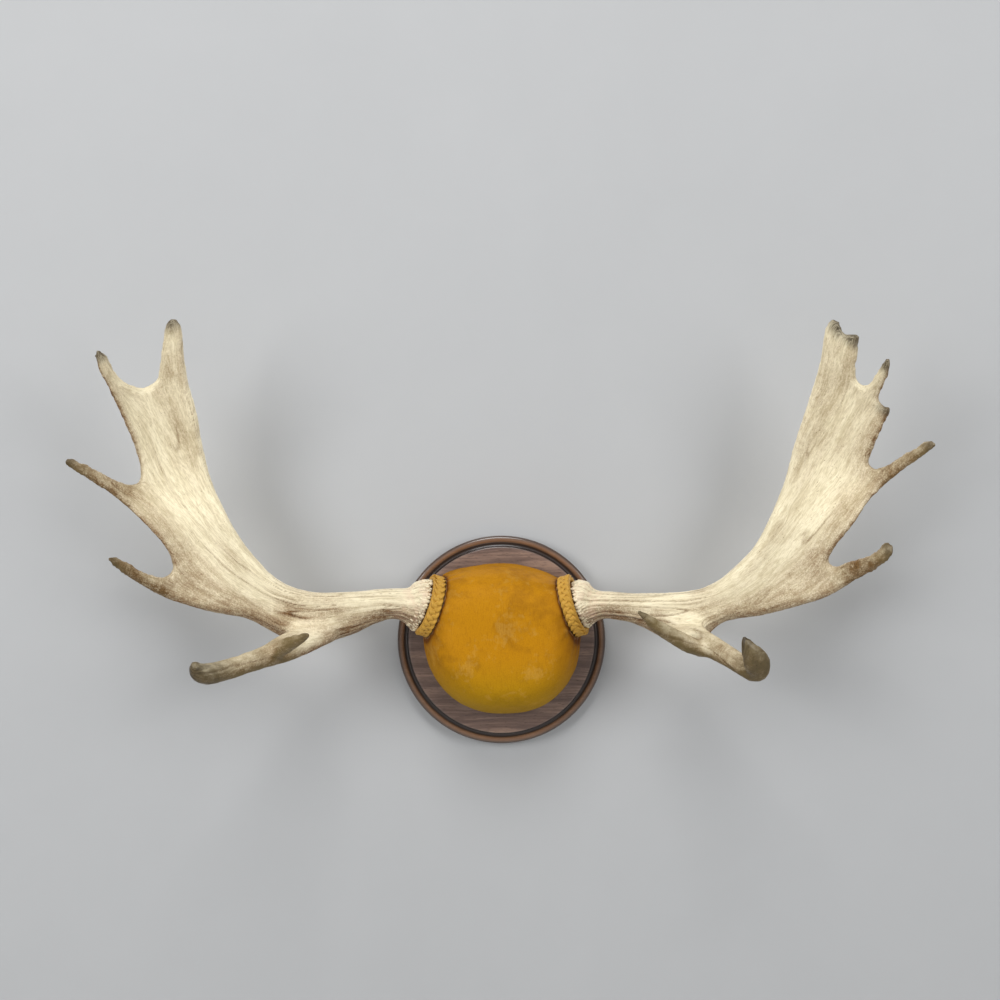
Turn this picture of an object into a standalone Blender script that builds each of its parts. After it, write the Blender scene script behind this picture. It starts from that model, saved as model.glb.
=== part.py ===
"""Wall mount: a pair of moose antlers on a leather-covered skull plate, on a round walnut plaque.

The wall is the plane y = 0 and the viewer stands on the -Y side. The origin is the centre of the
plaque's back face. Lengths in this file are in millimetres, and MM turns them into metres.
"""

import math

import bmesh
import bpy
import numpy as np
from mathutils import Matrix, Vector

MM = 0.001

# Driving dimensions
GAP = 0.3

PLAQUE_DIAMETER = 254
PLAQUE_THICKNESS = 22
PANEL_DIAMETER = 228
GROOVE_WIDTH = 4.5
GROOVE_DEPTH = 6
BEAD_HEIGHT = 18
PLAQUE_SIDES = 44

SKIN = 2.0  # thickness of the leather cover
COVER_HEIGHT = 84  # from the plaque's face to the front of the cover
COVER_ROUNDING = 52  # how far in from its outline the cover is still rising
COVER_FULLNESS = 2.4  # 2 is an elliptical edge, and more is boxier
SLEEVE_LENGTH = 52  # each side of the cover runs out to its ring as a short cone
SLEEVE_ROOT_RADIUS = 40
SLEEVE_END_RADIUS = 36

BURR_X = 85  # centre of each braided ring, from the middle of the plaque
BURR_Y = -67
BURR_Z = 45
BURR_TILT = math.radians(17.5)  # upward tilt of each pedicle
BURR_LEAN = math.radians(13)  # its lean towards the viewer
RING_RADIUS = 33
RING_HALF_WIDTH = 7.2
RING_HALF_DEPTH = 4.8
PEDICLE_RADIUS = 27

SCREW_X = 38
SCREW_Z = 12
SCREW_RADIUS = 2.5
SCREW_LENGTH = 52
SCREW_HEAD_RADIUS = 5
SCREW_HEAD_DEPTH = 4

HANGER_Z = 84
HANGER_LENGTH = 46
HANGER_HEIGHT = 11
HANGER_THICKNESS = 1.2
POCKET_DEPTH = 3.8
NAIL_RADIUS = 1.2
NAIL_LENGTH = 9

SLAB_HALF_DEPTH = 12
VOXEL = 4.0
ANTLER_SMOOTHING = 4
COVER_SMOOTHING = 40
ANTLER_TRIANGLES = 2150
COVER_TRIANGLES = 640
THINNEST = 3  # least half thickness of the antler plate
KERF = 0.3  # width of the cut between two antler nodes

# Leather cover: its outline on the plaque (x, z), anticlockwise from the top.
COVER_OUTLINE = [
    (0, 95), (-34, 91), (-62, 85), (-84, 68), (-92, 38), (-95.5, 8), (-92, -17), (-85, -37),
    (-71, -58), (-51, -75), (-26, -85), (0, -88), (27, -86), (51, -78), (71, -63), (86, -43),
    (94, -19), (96, 5), (93, 36), (83, 64), (64, 79), (34, 90),
]

# Each antler is a flat outline (x, z) that gets a depth and a half thickness from the knots
# (x, z, depth, half thickness), with the branches (x, y, z, half width, half thickness) that
# stand out of its plane towards the viewer. A saw cut is (x, y, z), its direction and half size.
LEFT_ANTLER = {
    "side": -1,
    "outline": [
        # top of the beam and inner edge of the palm
        (-85, 77), (-105, 67), (-132, 66), (-179, 63), (-225, 64), (-259, 77), (-287, 105),
        (-306, 132), (-321, 161), (-335, 190), (-345, 231), (-349, 272), (-355, 299),
        # top point
        (-358, 340), (-359, 367), (-367, 376), (-377, 368), (-382, 349), (-388, 327), (-394, 308),
        # outer top point
        (-404, 301), (-420, 302), (-432, 313), (-441, 336), (-450, 338), (-452, 325), (-442, 292),
        (-430, 257), (-421, 226), (-417, 203),
        # middle tine
        (-420, 189), (-437, 194), (-453, 205), (-468, 215), (-478, 219), (-484, 213), (-473, 201),
        (-451, 183), (-424, 159), (-404, 137), (-389, 117),
        # lower tine
        (-382, 101), (-384, 84), (-403, 88), (-419, 103), (-431, 111), (-437, 109), (-428, 90),
        (-411, 72), (-394, 59),
        # underside, back to the burr
        (-363, 46), (-329, 37), (-295, 30), (-270, 16), (-237, 1), (-180, 10), (-144, 26),
        (-121, 29), (-101, 13),
    ],
    "knots": [
        (-92, 44, -67, 21), (-156, 46, -76, 18), (-231, 43, -90, 16), (-276, 56, -96, 13),
        (-322, 77, -100, 11), (-350, 117, -102, 10), (-370, 168, -104, 9), (-363, 240, -114, 8),
        (-392, 257, -121, 8), (-399, 298, -138, 7.3), (-317, 147, -114, 8), (-338, 251, -130, 7),
        (-354, 307, -147, 6.5), (-367, 369, -172, 5.5), (-448, 332, -190, 5.5),
        (-426, 182, -130, 9), (-482, 215, -208, 5), (-395, 71, -120, 10.5), (-433, 108, -195, 5.5),
    ],
    "branches": [
        # brow palm with its hooked outer point
        [
            (-202, -88, 20, 16, 16), (-229, -105, 8, 17, 13), (-248, -132, 1, 17, 11),
            (-266, -160, -6, 13, 10), (-285, -190, -11, 12, 10), (-305, -220, -16, 12, 10.5),
            (-321, -243, -16, 12, 10), (-327, -254, -9, 8.5, 8), (-327, -259, -1, 3.5, 3.5),
        ],
        # leaf-shaped inner point
        [
            (-269, -152, -8, 8, 8), (-259, -157, -2, 9.5, 9), (-246, -166, 5, 10, 8.5),
            (-229, -186, 14, 8, 7), (-216, -200, 21, 5.5, 5), (-210, -207, 25, 3, 3),
        ],
    ],
    "cuts": [
        ((-267, -97, 46), (1, 0, 0), 44),
        ((-243, -124, 4), (-0.5, -0.8, -0.25), 27),
        ((-240, -173, 8), (0.55, -0.7, 0.4), 15),
        ((-387, -118, 71), (-0.95, -0.3, 0.1), 19),
        ((-425, -132, 176), (-0.82, -0.3, 0.5), 19),
    ],
    "nodes": {
        "left_beam": (-180, -80, 42),
        "left_palm": (-370, -110, 180),
        "left_brow_palm": (-280, -180, -10),
        "left_brow_point": (-220, -190, 15),
        "left_lower_tine": (-415, -145, 85),
        "left_middle_tine": (-455, -165, 200),
    },
}

RIGHT_ANTLER = {
    "side": 1,
    "outline": [
        # top of the beam and inner edge of the palm
        (84, 74), (96, 66), (117, 63), (163, 61), (209, 63), (244, 72), (275, 97), (297, 123),
        (311, 153), (326, 188), (338, 240), (350, 283), (360, 327),
        # two top points
        (362, 360), (365, 370), (371, 376), (378, 372), (382, 364), (386, 356), (395, 360),
        (401, 357), (403, 350), (402, 334), (402, 316),
        # outer top point and the small spur under it
        (411, 300), (418, 311), (423, 323), (427, 329), (433, 329), (436, 323), (435, 312),
        (430, 296), (428, 284), (431, 278), (441, 277), (438, 264), (427, 230),
        # middle tine
        (425, 208), (437, 212), (454, 226), (470, 239), (476, 240), (478, 232), (471, 220),
        (453, 204), (436, 186), (417, 165), (398, 136), (383, 112),
        # lower tine
        (379, 94), (398, 103), (415, 112), (429, 126), (433, 109), (424, 95), (408, 80), (380, 59),
        # underside, back to the burr
        (348, 47), (302, 35), (258, 26), (233, 4), (192, 8), (163, 22), (140, 28), (117, 29),
        (96, 17),
    ],
    "knots": [
        (93, 46, -67, 21), (152, 44, -79, 17), (215, 42, -92, 16), (253, 50, -97, 14),
        (290, 64, -101, 11.5), (347, 123, -104, 10), (363, 159, -106, 9), (363, 234, -114, 8),
        (383, 251, -120, 8), (387, 297, -136, 7), (311, 145, -114, 8), (339, 251, -130, 7),
        (357, 313, -147, 6.5), (372, 370, -172, 5), (399, 356, -172, 4.5), (431, 324, -184, 4.5),
        (440, 274, -165, 4.5), (425, 189, -130, 9), (476, 235, -208, 5), (393, 81, -122, 10.5),
        (430, 120, -198, 5.5),
    ],
    "branches": [
        # brow palm with its broad upturned outer point
        [
            (200, -88, 32, 16, 16), (215, -106, 19, 17, 13), (229, -125, 9, 15, 11),
            (244, -150, 1, 13.5, 10), (258, -176, -7, 12, 10), (270, -198, -14, 12.5, 9),
            (280, -213, -16, 15, 9), (278, -222, -7, 16, 8), (272, -228, 3, 13.5, 7.5),
            (267, -232, 11, 9.5, 6.5), (263, -235, 19, 6, 5), (262, -236, 25, 3, 3),
        ],
        # leaf-shaped inner point
        [
            (232, -135, -1, 10, 9), (212, -150, 7, 10.5, 9), (192, -163, 18, 9.5, 8.5),
            (177, -173, 27, 8.5, 7.5), (164, -183, 37, 6.5, 6), (154, -190, 45, 4.5, 4.5),
            (148, -193, 48, 3, 3),
        ],
    ],
    "cuts": [
        ((246, -97, 46), (1, 0, 0), 44),
        ((228, -124, 10), (0.45, -0.8, -0.35), 25),
        ((196, -160, 16), (-0.75, -0.5, 0.42), 16),
        ((395, -127, 85), (0.8, -0.3, 0.57), 19),
        ((433, -135, 198), (0.75, -0.3, 0.6), 18),
    ],
    "nodes": {
        "right_beam": (170, -80, 42),
        "right_palm": (360, -110, 180),
        "right_brow_palm": (270, -190, -5),
        "right_brow_point": (175, -178, 30),
        "right_lower_tine": (410, -145, 95),
        "right_middle_tine": (455, -165, 220),
    },
}

# The burr flares round the beam's foot: (distance along the pedicle, sag, radius).
BURR_PROFILE = [(4, 0, 28), (8, 1, 30.5), (12, 2, 29), (16, 4, 25), (22, 6, 21), (32, 10, 17)]

MATERIALS = {
    "antler": ((0.74, 0.66, 0.48), 0.55),
    "leather": ((0.48, 0.26, 0.05), 0.7),
    "braid": ((0.55, 0.36, 0.10), 0.65),
    "bone": ((0.80, 0.72, 0.58), 0.7),
    "walnut": ((0.13, 0.07, 0.045), 0.4),
    "steel": ((0.55, 0.55, 0.56), 0.35),
}


# Scene, materials and small helpers

def clear_scene():
    for item in list(bpy.data.objects):
        bpy.data.objects.remove(item)


def new_collection(name, hidden=False):
    collection = bpy.data.collections.new(name)
    bpy.context.scene.collection.children.link(collection)
    collection.hide_render = hidden
    return collection


def material(name):
    found = bpy.data.materials.get(name)
    if found:
        return found
    color, roughness = MATERIALS[name]
    made = bpy.data.materials.new(name)
    made.use_nodes = True
    shader = made.node_tree.nodes["Principled BSDF"]
    shader.inputs["Base Color"].default_value = (*color, 1)
    shader.inputs["Roughness"].default_value = roughness
    shader.inputs["Metallic"].default_value = 1.0 if name == "steel" else 0.0
    return made


def add_object(name, mesh, collection, material_name=None):
    item = bpy.data.objects.new(name, mesh)
    collection.objects.link(item)
    if material_name:
        mesh.materials.clear()
        mesh.materials.append(material(material_name))
    return item


def mesh_of(bm, name):
    mesh = bpy.data.meshes.new(name)
    bmesh.ops.recalc_face_normals(bm, faces=bm.faces)
    bm.to_mesh(mesh)
    bm.free()
    return mesh


def apply_modifiers(item):
    """Replaces the object's mesh by what its modifiers make of it, and removes them."""
    graph = bpy.context.evaluated_depsgraph_get()
    mesh = bpy.data.meshes.new_from_object(item.evaluated_get(graph))
    item.modifiers.clear()
    item.data = mesh
    return item


def join(name, items, collection):
    """One object holding the meshes of several, which it replaces."""
    bm = bmesh.new()
    for item in items:
        part = item.data.copy()
        part.transform(item.matrix_world)
        bm.from_mesh(part)
        bpy.data.objects.remove(item)
    return add_object(name, mesh_of(bm, name), collection)


def remesh(item, rounds=0):
    """Melts overlapping shapes into one skin of even quads and smooths it."""
    melt = item.modifiers.new("melt", "REMESH")
    melt.mode = "VOXEL"
    melt.voxel_size = VOXEL * MM
    if rounds:
        soften = item.modifiers.new("soften", "SMOOTH")
        soften.factor = 0.5
        soften.iterations = rounds
    return apply_modifiers(item)


def thin_out(item, triangles):
    item.data.calc_loop_triangles()
    fewer = item.modifiers.new("fewer", "DECIMATE")
    fewer.ratio = triangles / len(item.data.loop_triangles)
    fewer.use_collapse_triangulate = True
    return apply_modifiers(item)


def boolean(item, other, operation):
    step = item.modifiers.new(other.name, "BOOLEAN")
    step.operation = operation
    step.object = other


def cylinder(name, radius, start, end, collection, segments=24, end_radius=None):
    """A cylinder or a cone between two points."""
    start, end = Vector(start), Vector(end)
    bm = bmesh.new()
    bmesh.ops.create_cone(
        bm, cap_ends=True, segments=segments, radius1=radius * MM,
        radius2=(radius if end_radius is None else end_radius) * MM,
        depth=(end - start).length * MM,
    )
    item = add_object(name, mesh_of(bm, name), collection)
    turn = Vector((0, 0, 1)).rotation_difference(end - start).to_matrix().to_4x4()
    item.data.transform(Matrix.Translation((start + end) / 2 * MM) @ turn)
    return item


def box(name, centre, size, collection):
    bm = bmesh.new()
    bmesh.ops.create_cube(bm, size=1)
    item = add_object(name, mesh_of(bm, name), collection)
    item.data.transform(Matrix.Diagonal((*(s * MM for s in size), 1)))
    item.location = Vector(centre) * MM
    return item


def slice_off(item, point, normal, fill):
    """Cuts away what lies beyond a plane on the side its normal points to."""
    bm = bmesh.new()
    bm.from_mesh(item.data)
    cut = bmesh.ops.bisect_plane(
        bm, geom=bm.verts[:] + bm.edges[:] + bm.faces[:], dist=1e-6,
        plane_co=Vector(point) * MM, plane_no=Vector(normal), clear_outer=True,
    )
    if fill:
        rim = [edge for edge in cut["geom_cut"] if isinstance(edge, bmesh.types.BMEdge)]
        bmesh.ops.holes_fill(bm, edges=rim)
    bm.to_mesh(item.data)
    bm.free()


# Shapes from flat outlines

def outline_slab(name, outline, half_depth, collection):
    """A slab of even quads with a smooth outline drawn in x and z, centred on y = 0."""
    curve = bpy.data.curves.new(name, "CURVE")
    curve.dimensions = "2D"
    curve.fill_mode = "BOTH"
    curve.extrude = half_depth * MM
    curve.resolution_u = 6
    spline = curve.splines.new("BEZIER")
    spline.bezier_points.add(len(outline) - 1)
    for knot, (x, z) in zip(spline.bezier_points, outline):
        knot.co = (x * MM, z * MM, 0)
        knot.handle_left_type = "AUTO"
        knot.handle_right_type = "AUTO"
    spline.use_cyclic_u = True
    holder = bpy.data.objects.new(name, curve)
    collection.objects.link(holder)
    graph = bpy.context.evaluated_depsgraph_get()
    bm = bmesh.new()
    bm.from_mesh(bpy.data.meshes.new_from_object(holder.evaluated_get(graph)))
    bmesh.ops.remove_doubles(bm, verts=bm.verts, dist=1e-6)
    bpy.data.objects.remove(holder)
    upright = Matrix.Rotation(math.pi / 2, 4, "X")
    bmesh.ops.transform(bm, matrix=upright, verts=bm.verts)
    rim = np.array([
        [[end.co.x, end.co.z] for end in edge.verts]
        for edge in bm.edges
        if edge.calc_face_angle(0) > 1 and all(end.co.y > 0 for end in edge.verts)
    ]) / MM
    slab = add_object(name, mesh_of(bm, name), collection)
    return remesh(slab), rim


def points_of(item):
    flat = np.empty(len(item.data.vertices) * 3)
    item.data.vertices.foreach_get("co", flat)
    return flat.reshape(-1, 3) / MM


def move_points(item, points):
    item.data.vertices.foreach_set("co", (points * MM).ravel())
    item.data.update()


def distance_to_rim(points, rim):
    """Distance in x and z from each point to the nearest of the rim's segments."""
    start, run = rim[:, 0], rim[:, 1] - rim[:, 0]
    length = np.maximum((run ** 2).sum(1), 1e-9)
    nearest = []
    for chunk in np.array_split(points[:, [0, 2]], 40):
        away = chunk[:, None] - start[None]
        along = np.clip((away * run).sum(2) / length, 0, 1)
        miss = away - along[..., None] * run
        nearest.append(np.sqrt((miss ** 2).sum(2)).min(1))
    return np.concatenate(nearest)


def smooth_field(knots):
    """A thin-plate surface through knots (x, z, value...), as a function of points in x and z."""
    knots = np.array(knots, float)
    places, values = knots[:, :2] / 100, knots[:, 2:]
    count = len(places)

    def kernel(a, b):
        gap = np.linalg.norm(a[:, None] - b[None], axis=2)
        return gap ** 2 * np.log(gap + 1e-12)

    system = np.zeros((count + 3, count + 3))
    system[:count, :count] = kernel(places, places) + 0.02 * np.eye(count)
    system[:count, count] = 1
    system[count, :count] = 1
    system[:count, count + 1:] = places
    system[count + 1:, :count] = places.T
    weights = np.linalg.solve(system, np.vstack([values, np.zeros((3, values.shape[1]))]))

    def field(where):
        where = where / 100
        bent = kernel(where, places) @ weights[:count]
        return bent + weights[count] + where @ weights[count + 1:]

    return field


def round_edge(distance, rounding, power=2):
    """Height from 0 at the rim to 1 at a full rounding's distance, along a quarter ellipse."""
    return (1 - (1 - np.clip(distance / rounding, 0, 1)) ** power) ** (1 / power)


# Antlers

def through(stations, steps=4):
    """Rows on a Catmull-Rom curve through the stations, whatever numbers each row holds."""
    rows = np.array(stations, float)
    rows = np.vstack([2 * rows[0] - rows[1], rows, 2 * rows[-1] - rows[-2]])
    found = []
    for a, b, c, d in zip(rows, rows[1:], rows[2:], rows[3:]):
        for t in np.arange(steps) / steps:
            bend = (2 * a - 5 * b + 4 * c - d) * t ** 2 + (-a + 3 * b - 3 * c + d) * t ** 3
            found.append(b + (c - a) * t / 2 + bend / 2)
    return np.vstack([found, rows[-2]])


def loft(name, stations, collection, sides=16):
    """A solid through oval sections (x, y, z, half width, half thickness), broad side to the front."""
    rows = through(stations)
    tangents = np.gradient(rows[:, :3], axis=0)
    bm = bmesh.new()
    rings = []
    for row, tangent in zip(rows, tangents):
        tangent = Vector(tangent).normalized()
        wide = tangent.cross(Vector((0, 1, 0))).normalized()
        thick = tangent.cross(wide)
        ring = []
        for step in range(sides):
            turn = 2 * math.pi * step / sides
            offset = wide * (row[3] * math.cos(turn)) + thick * (row[4] * math.sin(turn))
            ring.append(bm.verts.new((Vector(row[:3]) + offset) * MM))
        rings.append(ring)
    for near, far in zip(rings, rings[1:]):
        for step in range(sides):
            ahead = (step + 1) % sides
            bm.faces.new((near[step], near[ahead], far[ahead], far[step]))
    bm.faces.new(reversed(rings[0]))
    bm.faces.new(rings[-1])
    return add_object(name, mesh_of(bm, name), collection)


def pedicle(side):
    """Centre and outward direction of one pedicle."""
    centre = Vector((side * BURR_X, BURR_Y, BURR_Z))
    level = math.cos(BURR_TILT)
    outward = Vector((
        side * level * math.cos(BURR_LEAN), -level * math.sin(BURR_LEAN), math.sin(BURR_TILT),
    ))
    return centre, outward


def plate(antler, collection):
    """The beam, palm and tines, from the antler's outline and knots."""
    slab, rim = outline_slab("plate", antler["outline"], SLAB_HALF_DEPTH, collection)
    points = points_of(slab)
    depth, half = smooth_field(antler["knots"])(points[:, [0, 2]]).T
    face = np.clip(points[:, 1] / (0.8 * SLAB_HALF_DEPTH), -1, 1)
    half = np.maximum(half, THINNEST)
    points[:, 1] = depth + face * half * round_edge(distance_to_rim(points, rim), half)
    move_points(slab, points)
    return slab


def burr(side, collection):
    centre, outward = pedicle(side)
    stations = []
    for along, sag, radius in BURR_PROFILE:
        middle = centre + outward * along - Vector((0, 0, sag))
        stations.append((*middle, radius, radius))
    return loft("burr", stations, collection)


def saw_cut(place, direction, half, collection):
    """A thin block across one branch."""
    cut = box("saw_cut", place, (2 * half, 2 * half, KERF), collection)
    cut.rotation_euler = Vector((0, 0, 1)).rotation_difference(Vector(direction)).to_euler()
    return cut


def loose_parts(item, collection):
    """One new object for each separate body of the mesh."""
    bm = bmesh.new()
    bm.from_mesh(item.data)
    left = set(bm.verts)
    parts = []
    while left:
        found = {left.pop()}
        waiting = list(found)
        while waiting:
            vert = waiting.pop()
            for edge in vert.link_edges:
                other = edge.other_vert(vert)
                if other not in found:
                    found.add(other)
                    waiting.append(other)
        left -= found
        part = bm.copy()
        keep = {vert.index for vert in found}
        bmesh.ops.delete(part, geom=[v for v in part.verts if v.index not in keep])
        parts.append(add_object("part", mesh_of(part, "part"), collection))
    bm.free()
    bpy.data.objects.remove(item)
    return parts


def build_antler(antler, parts, helpers):
    shapes = [plate(antler, helpers), burr(antler["side"], helpers)]
    shapes += [loft("branch", stations, helpers) for stations in antler["branches"]]
    whole = join("antler", shapes, helpers)
    remesh(whole, ANTLER_SMOOTHING)
    thin_out(whole, ANTLER_TRIANGLES)
    centre, outward = pedicle(antler["side"])
    slice_off(whole, centre + outward * (RING_HALF_WIDTH + 2 * GAP), -outward, fill=True)
    for place, direction, half in antler["cuts"]:
        boolean(whole, saw_cut(place, direction, half, helpers), "DIFFERENCE")
    bpy.context.view_layer.update()
    apply_modifiers(whole)
    pieces = loose_parts(whole, parts)
    names = antler["nodes"]
    if len(pieces) != len(names):
        raise ValueError(f"the saw cuts leave {len(pieces)} pieces, not {len(names)}")
    for piece in pieces:
        middle = Vector(points_of(piece).mean(0))
        name = min(names, key=lambda key: (Vector(names[key]) - middle).length)
        piece.name = name
        piece.data.name = name
        piece.data.materials.append(material("antler"))
        piece.data.shade_smooth()


# Skull form and leather cover

def cover_blank(helpers):
    """The cover's outer shape, running on behind the plaque's face and out past both rings."""
    dome, rim = outline_slab("dome", COVER_OUTLINE, SLAB_HALF_DEPTH, helpers)
    points = points_of(dome)
    rise = round_edge(distance_to_rim(points, rim), COVER_ROUNDING, COVER_FULLNESS)
    face = -PLAQUE_THICKNESS - GAP
    front = points[:, 1] < 0
    points[:, 1] = np.where(front, face - COVER_HEIGHT * rise, face + SLAB_HALF_DEPTH)
    move_points(dome, points)
    shapes = [dome]
    for side in (-1, 1):
        centre, outward = pedicle(side)
        inner = centre - outward * SLEEVE_LENGTH
        outer = centre + outward * RING_HALF_WIDTH
        shapes.append(cylinder("sleeve", SLEEVE_ROOT_RADIUS, inner, outer, helpers,
                               end_radius=SLEEVE_END_RADIUS))
    blank = join("blank", shapes, helpers)
    remesh(blank, COVER_SMOOTHING)
    return blank


def trim_cover(item, fill):
    """Cuts the back flat on the plaque's face and the two sides along the rings."""
    slice_off(item, (0, -PLAQUE_THICKNESS - GAP, 0), (0, 1, 0), fill)
    for side in (-1, 1):
        centre, outward = pedicle(side)
        slice_off(item, centre - outward * (RING_HALF_WIDTH + GAP), outward, fill)


def build_cover(parts, helpers):
    blank = cover_blank(helpers)
    thin_out(blank, COVER_TRIANGLES)

    form = add_object("skull_form", blank.data.copy(), parts, "bone")
    inset = form.modifiers.new("inset", "DISPLACE")
    inset.strength = -(SKIN + GAP) * MM
    inset.mid_level = 0
    apply_modifiers(form)
    trim_cover(form, fill=True)
    for side in (-1, 1):
        centre, outward = pedicle(side)
        stub = cylinder("stub", PEDICLE_RADIUS, centre - outward * 30,
                        centre + outward * (RING_HALF_WIDTH + GAP), helpers)
        boolean(form, stub, "UNION")
        place = (side * SCREW_X, -PLAQUE_THICKNESS, SCREW_Z)
        hole = cylinder("form_hole", SCREW_RADIUS + GAP, Vector(place) + Vector((0, 10, 0)),
                        Vector(place) - Vector((0, SCREW_LENGTH, 0)), helpers, 12)
        boolean(form, hole, "DIFFERENCE")

    cover = add_object("leather_cover", blank.data.copy(), parts, "leather")
    trim_cover(cover, fill=False)
    skin = cover.modifiers.new("skin", "SOLIDIFY")
    skin.thickness = SKIN * MM
    skin.offset = -1
    cover.data.shade_smooth()
    bpy.data.objects.remove(blank)


def build_rings(parts):
    for side, name in ((-1, "left_braid"), (1, "right_braid")):
        centre, outward = pedicle(side)
        bpy.ops.mesh.primitive_torus_add(
            major_segments=24, minor_segments=8,
            major_radius=RING_RADIUS * MM, minor_radius=RING_HALF_DEPTH * MM,
        )
        ring = bpy.context.object
        ring.name = name
        ring.data.name = name
        stretch = RING_HALF_WIDTH / RING_HALF_DEPTH
        ring.data.transform(Matrix.Diagonal((1, 1, stretch, 1)))
        ring.rotation_euler = Vector((0, 0, 1)).rotation_difference(outward).to_euler()
        ring.location = centre * MM
        for holder in ring.users_collection:
            holder.objects.unlink(ring)
        parts.objects.link(ring)
        ring.data.materials.append(material("braid"))
        ring.data.shade_smooth()


# Plaque and hardware

def plaque_profile():
    """The turned section (radius, height off the wall), from the centre of the face to the back."""
    outer = PLAQUE_DIAMETER / 2
    panel = PANEL_DIAMETER / 2
    groove = PLAQUE_THICKNESS - GROOVE_DEPTH
    bead_start = panel + GROOVE_WIDTH
    bead_middle = (bead_start + outer) / 2
    return [
        (0, PLAQUE_THICKNESS),
        (panel - 2, PLAQUE_THICKNESS),
        (panel - 0.6, PLAQUE_THICKNESS - 0.6),
        (panel, PLAQUE_THICKNESS - 2),
        (panel + 0.8, groove),
        (bead_start - 0.5, groove),
        (bead_start + 0.8, BEAD_HEIGHT - 0.8),
        (bead_middle, BEAD_HEIGHT),
        (outer - 1.5, BEAD_HEIGHT - 2.5),
        (outer, BEAD_HEIGHT - 6),
        (outer, 3),
        (outer - 2, 0),
        (0, 0),
    ]


def build_plaque(parts, helpers):
    bm = bmesh.new()
    verts = [bm.verts.new((radius * MM, 0, height * MM)) for radius, height in plaque_profile()]
    for a, b in zip(verts, verts[1:]):
        bm.edges.new((a, b))
    mesh = bpy.data.meshes.new("plaque")
    bm.to_mesh(mesh)
    bm.free()
    plaque = add_object("plaque", mesh, parts, "walnut")
    plaque.rotation_euler = (math.pi / 2, 0, 0)
    turn = plaque.modifiers.new("turn", "SCREW")
    turn.steps = PLAQUE_SIDES
    turn.render_steps = PLAQUE_SIDES
    turn.use_merge_vertices = True
    turn.merge_threshold = 1e-5
    cutters = [
        box("hanger_pocket", (0, 0, HANGER_Z), (HANGER_LENGTH + 8, 2 * POCKET_DEPTH,
                                                HANGER_HEIGHT + 6), helpers)
    ]
    for side in (-1, 1):
        place = Vector((side * SCREW_X, 0, SCREW_Z))
        cutters.append(cylinder(
            "screw_hole", SCREW_RADIUS + GAP, place + Vector((0, 5, 0)),
            place - Vector((0, PLAQUE_THICKNESS + 5, 0)), helpers, 12))
        cutters.append(cylinder(
            "screw_recess", SCREW_HEAD_RADIUS + GAP, place + Vector((0, 5, 0)),
            place - Vector((0, SCREW_HEAD_DEPTH + 1, 0)), helpers, 16))
        nail = Vector((side * (HANGER_LENGTH / 2 - 4), 0, HANGER_Z))
        cutters.append(cylinder(
            "nail_hole", NAIL_RADIUS + GAP, nail, nail - Vector((0, NAIL_LENGTH + 5, 0)),
            helpers, 8))
    for cutter in cutters:
        boolean(plaque, cutter, "DIFFERENCE")


def build_screws(parts, helpers):
    for side, name in ((-1, "left_mounting_screw"), (1, "right_mounting_screw")):
        place = Vector((side * SCREW_X, 0, SCREW_Z))
        head_back = place - Vector((0, 1, 0))
        head_front = place - Vector((0, SCREW_HEAD_DEPTH + 1 - GAP, 0))
        tip = place - Vector((0, SCREW_LENGTH, 0))
        screw = cylinder(name, SCREW_HEAD_RADIUS, head_back, head_front, parts, 16)
        screw.data.materials.append(material("steel"))
        shank = cylinder("shank", SCREW_RADIUS, head_front + Vector((0, 1, 0)), tip, helpers, 12)
        boolean(screw, shank, "UNION")


def build_hanger(parts, helpers):
    back = -POCKET_DEPTH + GAP + HANGER_THICKNESS / 2
    plate_item = box("hanger_plate", (0, back, HANGER_Z),
                     (HANGER_LENGTH, HANGER_THICKNESS, HANGER_HEIGHT), parts)
    plate_item.data.materials.append(material("steel"))
    teeth = 7
    for tooth in range(teeth):
        across = (tooth - (teeth - 1) / 2) * 3.2
        notch = box("notch", (across, back, HANGER_Z - HANGER_HEIGHT / 2), (2, 6, 2), helpers)
        notch.rotation_euler = (0, math.pi / 4, 0)
        boolean(plate_item, notch, "DIFFERENCE")
    for side, name in ((-1, "left_hanger_nail"), (1, "right_hanger_nail")):
        place = Vector((side * (HANGER_LENGTH / 2 - 4), back, HANGER_Z))
        hole = cylinder("plate_hole", NAIL_RADIUS + GAP, place + Vector((0, 3, 0)),
                        place - Vector((0, 3, 0)), helpers, 8)
        boolean(plate_item, hole, "DIFFERENCE")
        seat = place + Vector((0, HANGER_THICKNESS / 2 + GAP, 0))
        nail = cylinder(name, 2 * NAIL_RADIUS, seat + Vector((0, 1, 0)), seat, parts, 12)
        nail.data.materials.append(material("steel"))
        shank = cylinder("nail_shank", NAIL_RADIUS, seat + Vector((0, 0.5, 0)),
                         seat - Vector((0, NAIL_LENGTH, 0)), helpers, 8)
        boolean(nail, shank, "UNION")


def hide_helpers(helpers):
    for item in helpers.objects:
        item.hide_render = True
        item.display_type = "WIRE"


def main():
    clear_scene()
    parts = new_collection("moose_antler_mount")
    helpers = new_collection("cutters", hidden=True)
    build_plaque(parts, helpers)
    build_cover(parts, helpers)
    build_rings(parts)
    build_screws(parts, helpers)
    build_hanger(parts, helpers)
    for antler in (LEFT_ANTLER, RIGHT_ANTLER):
        build_antler(antler, parts, helpers)
    hide_helpers(helpers)


main()
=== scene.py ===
"""Moose antler wall mount: antlers, leather-covered skull plate, braided rings and walnut plaque.

The wall is the plane y = 0 and the viewer stands on the -Y side. Lengths are in metres.
"""

import heapq
import math
from types import SimpleNamespace

import bmesh
import bpy
import numpy as np
from bpy.props import FloatProperty, FloatVectorProperty, IntProperty, PointerProperty
from mathutils import Matrix, Vector
from mathutils.bvhtree import BVHTree
from mathutils.kdtree import KDTree


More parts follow.
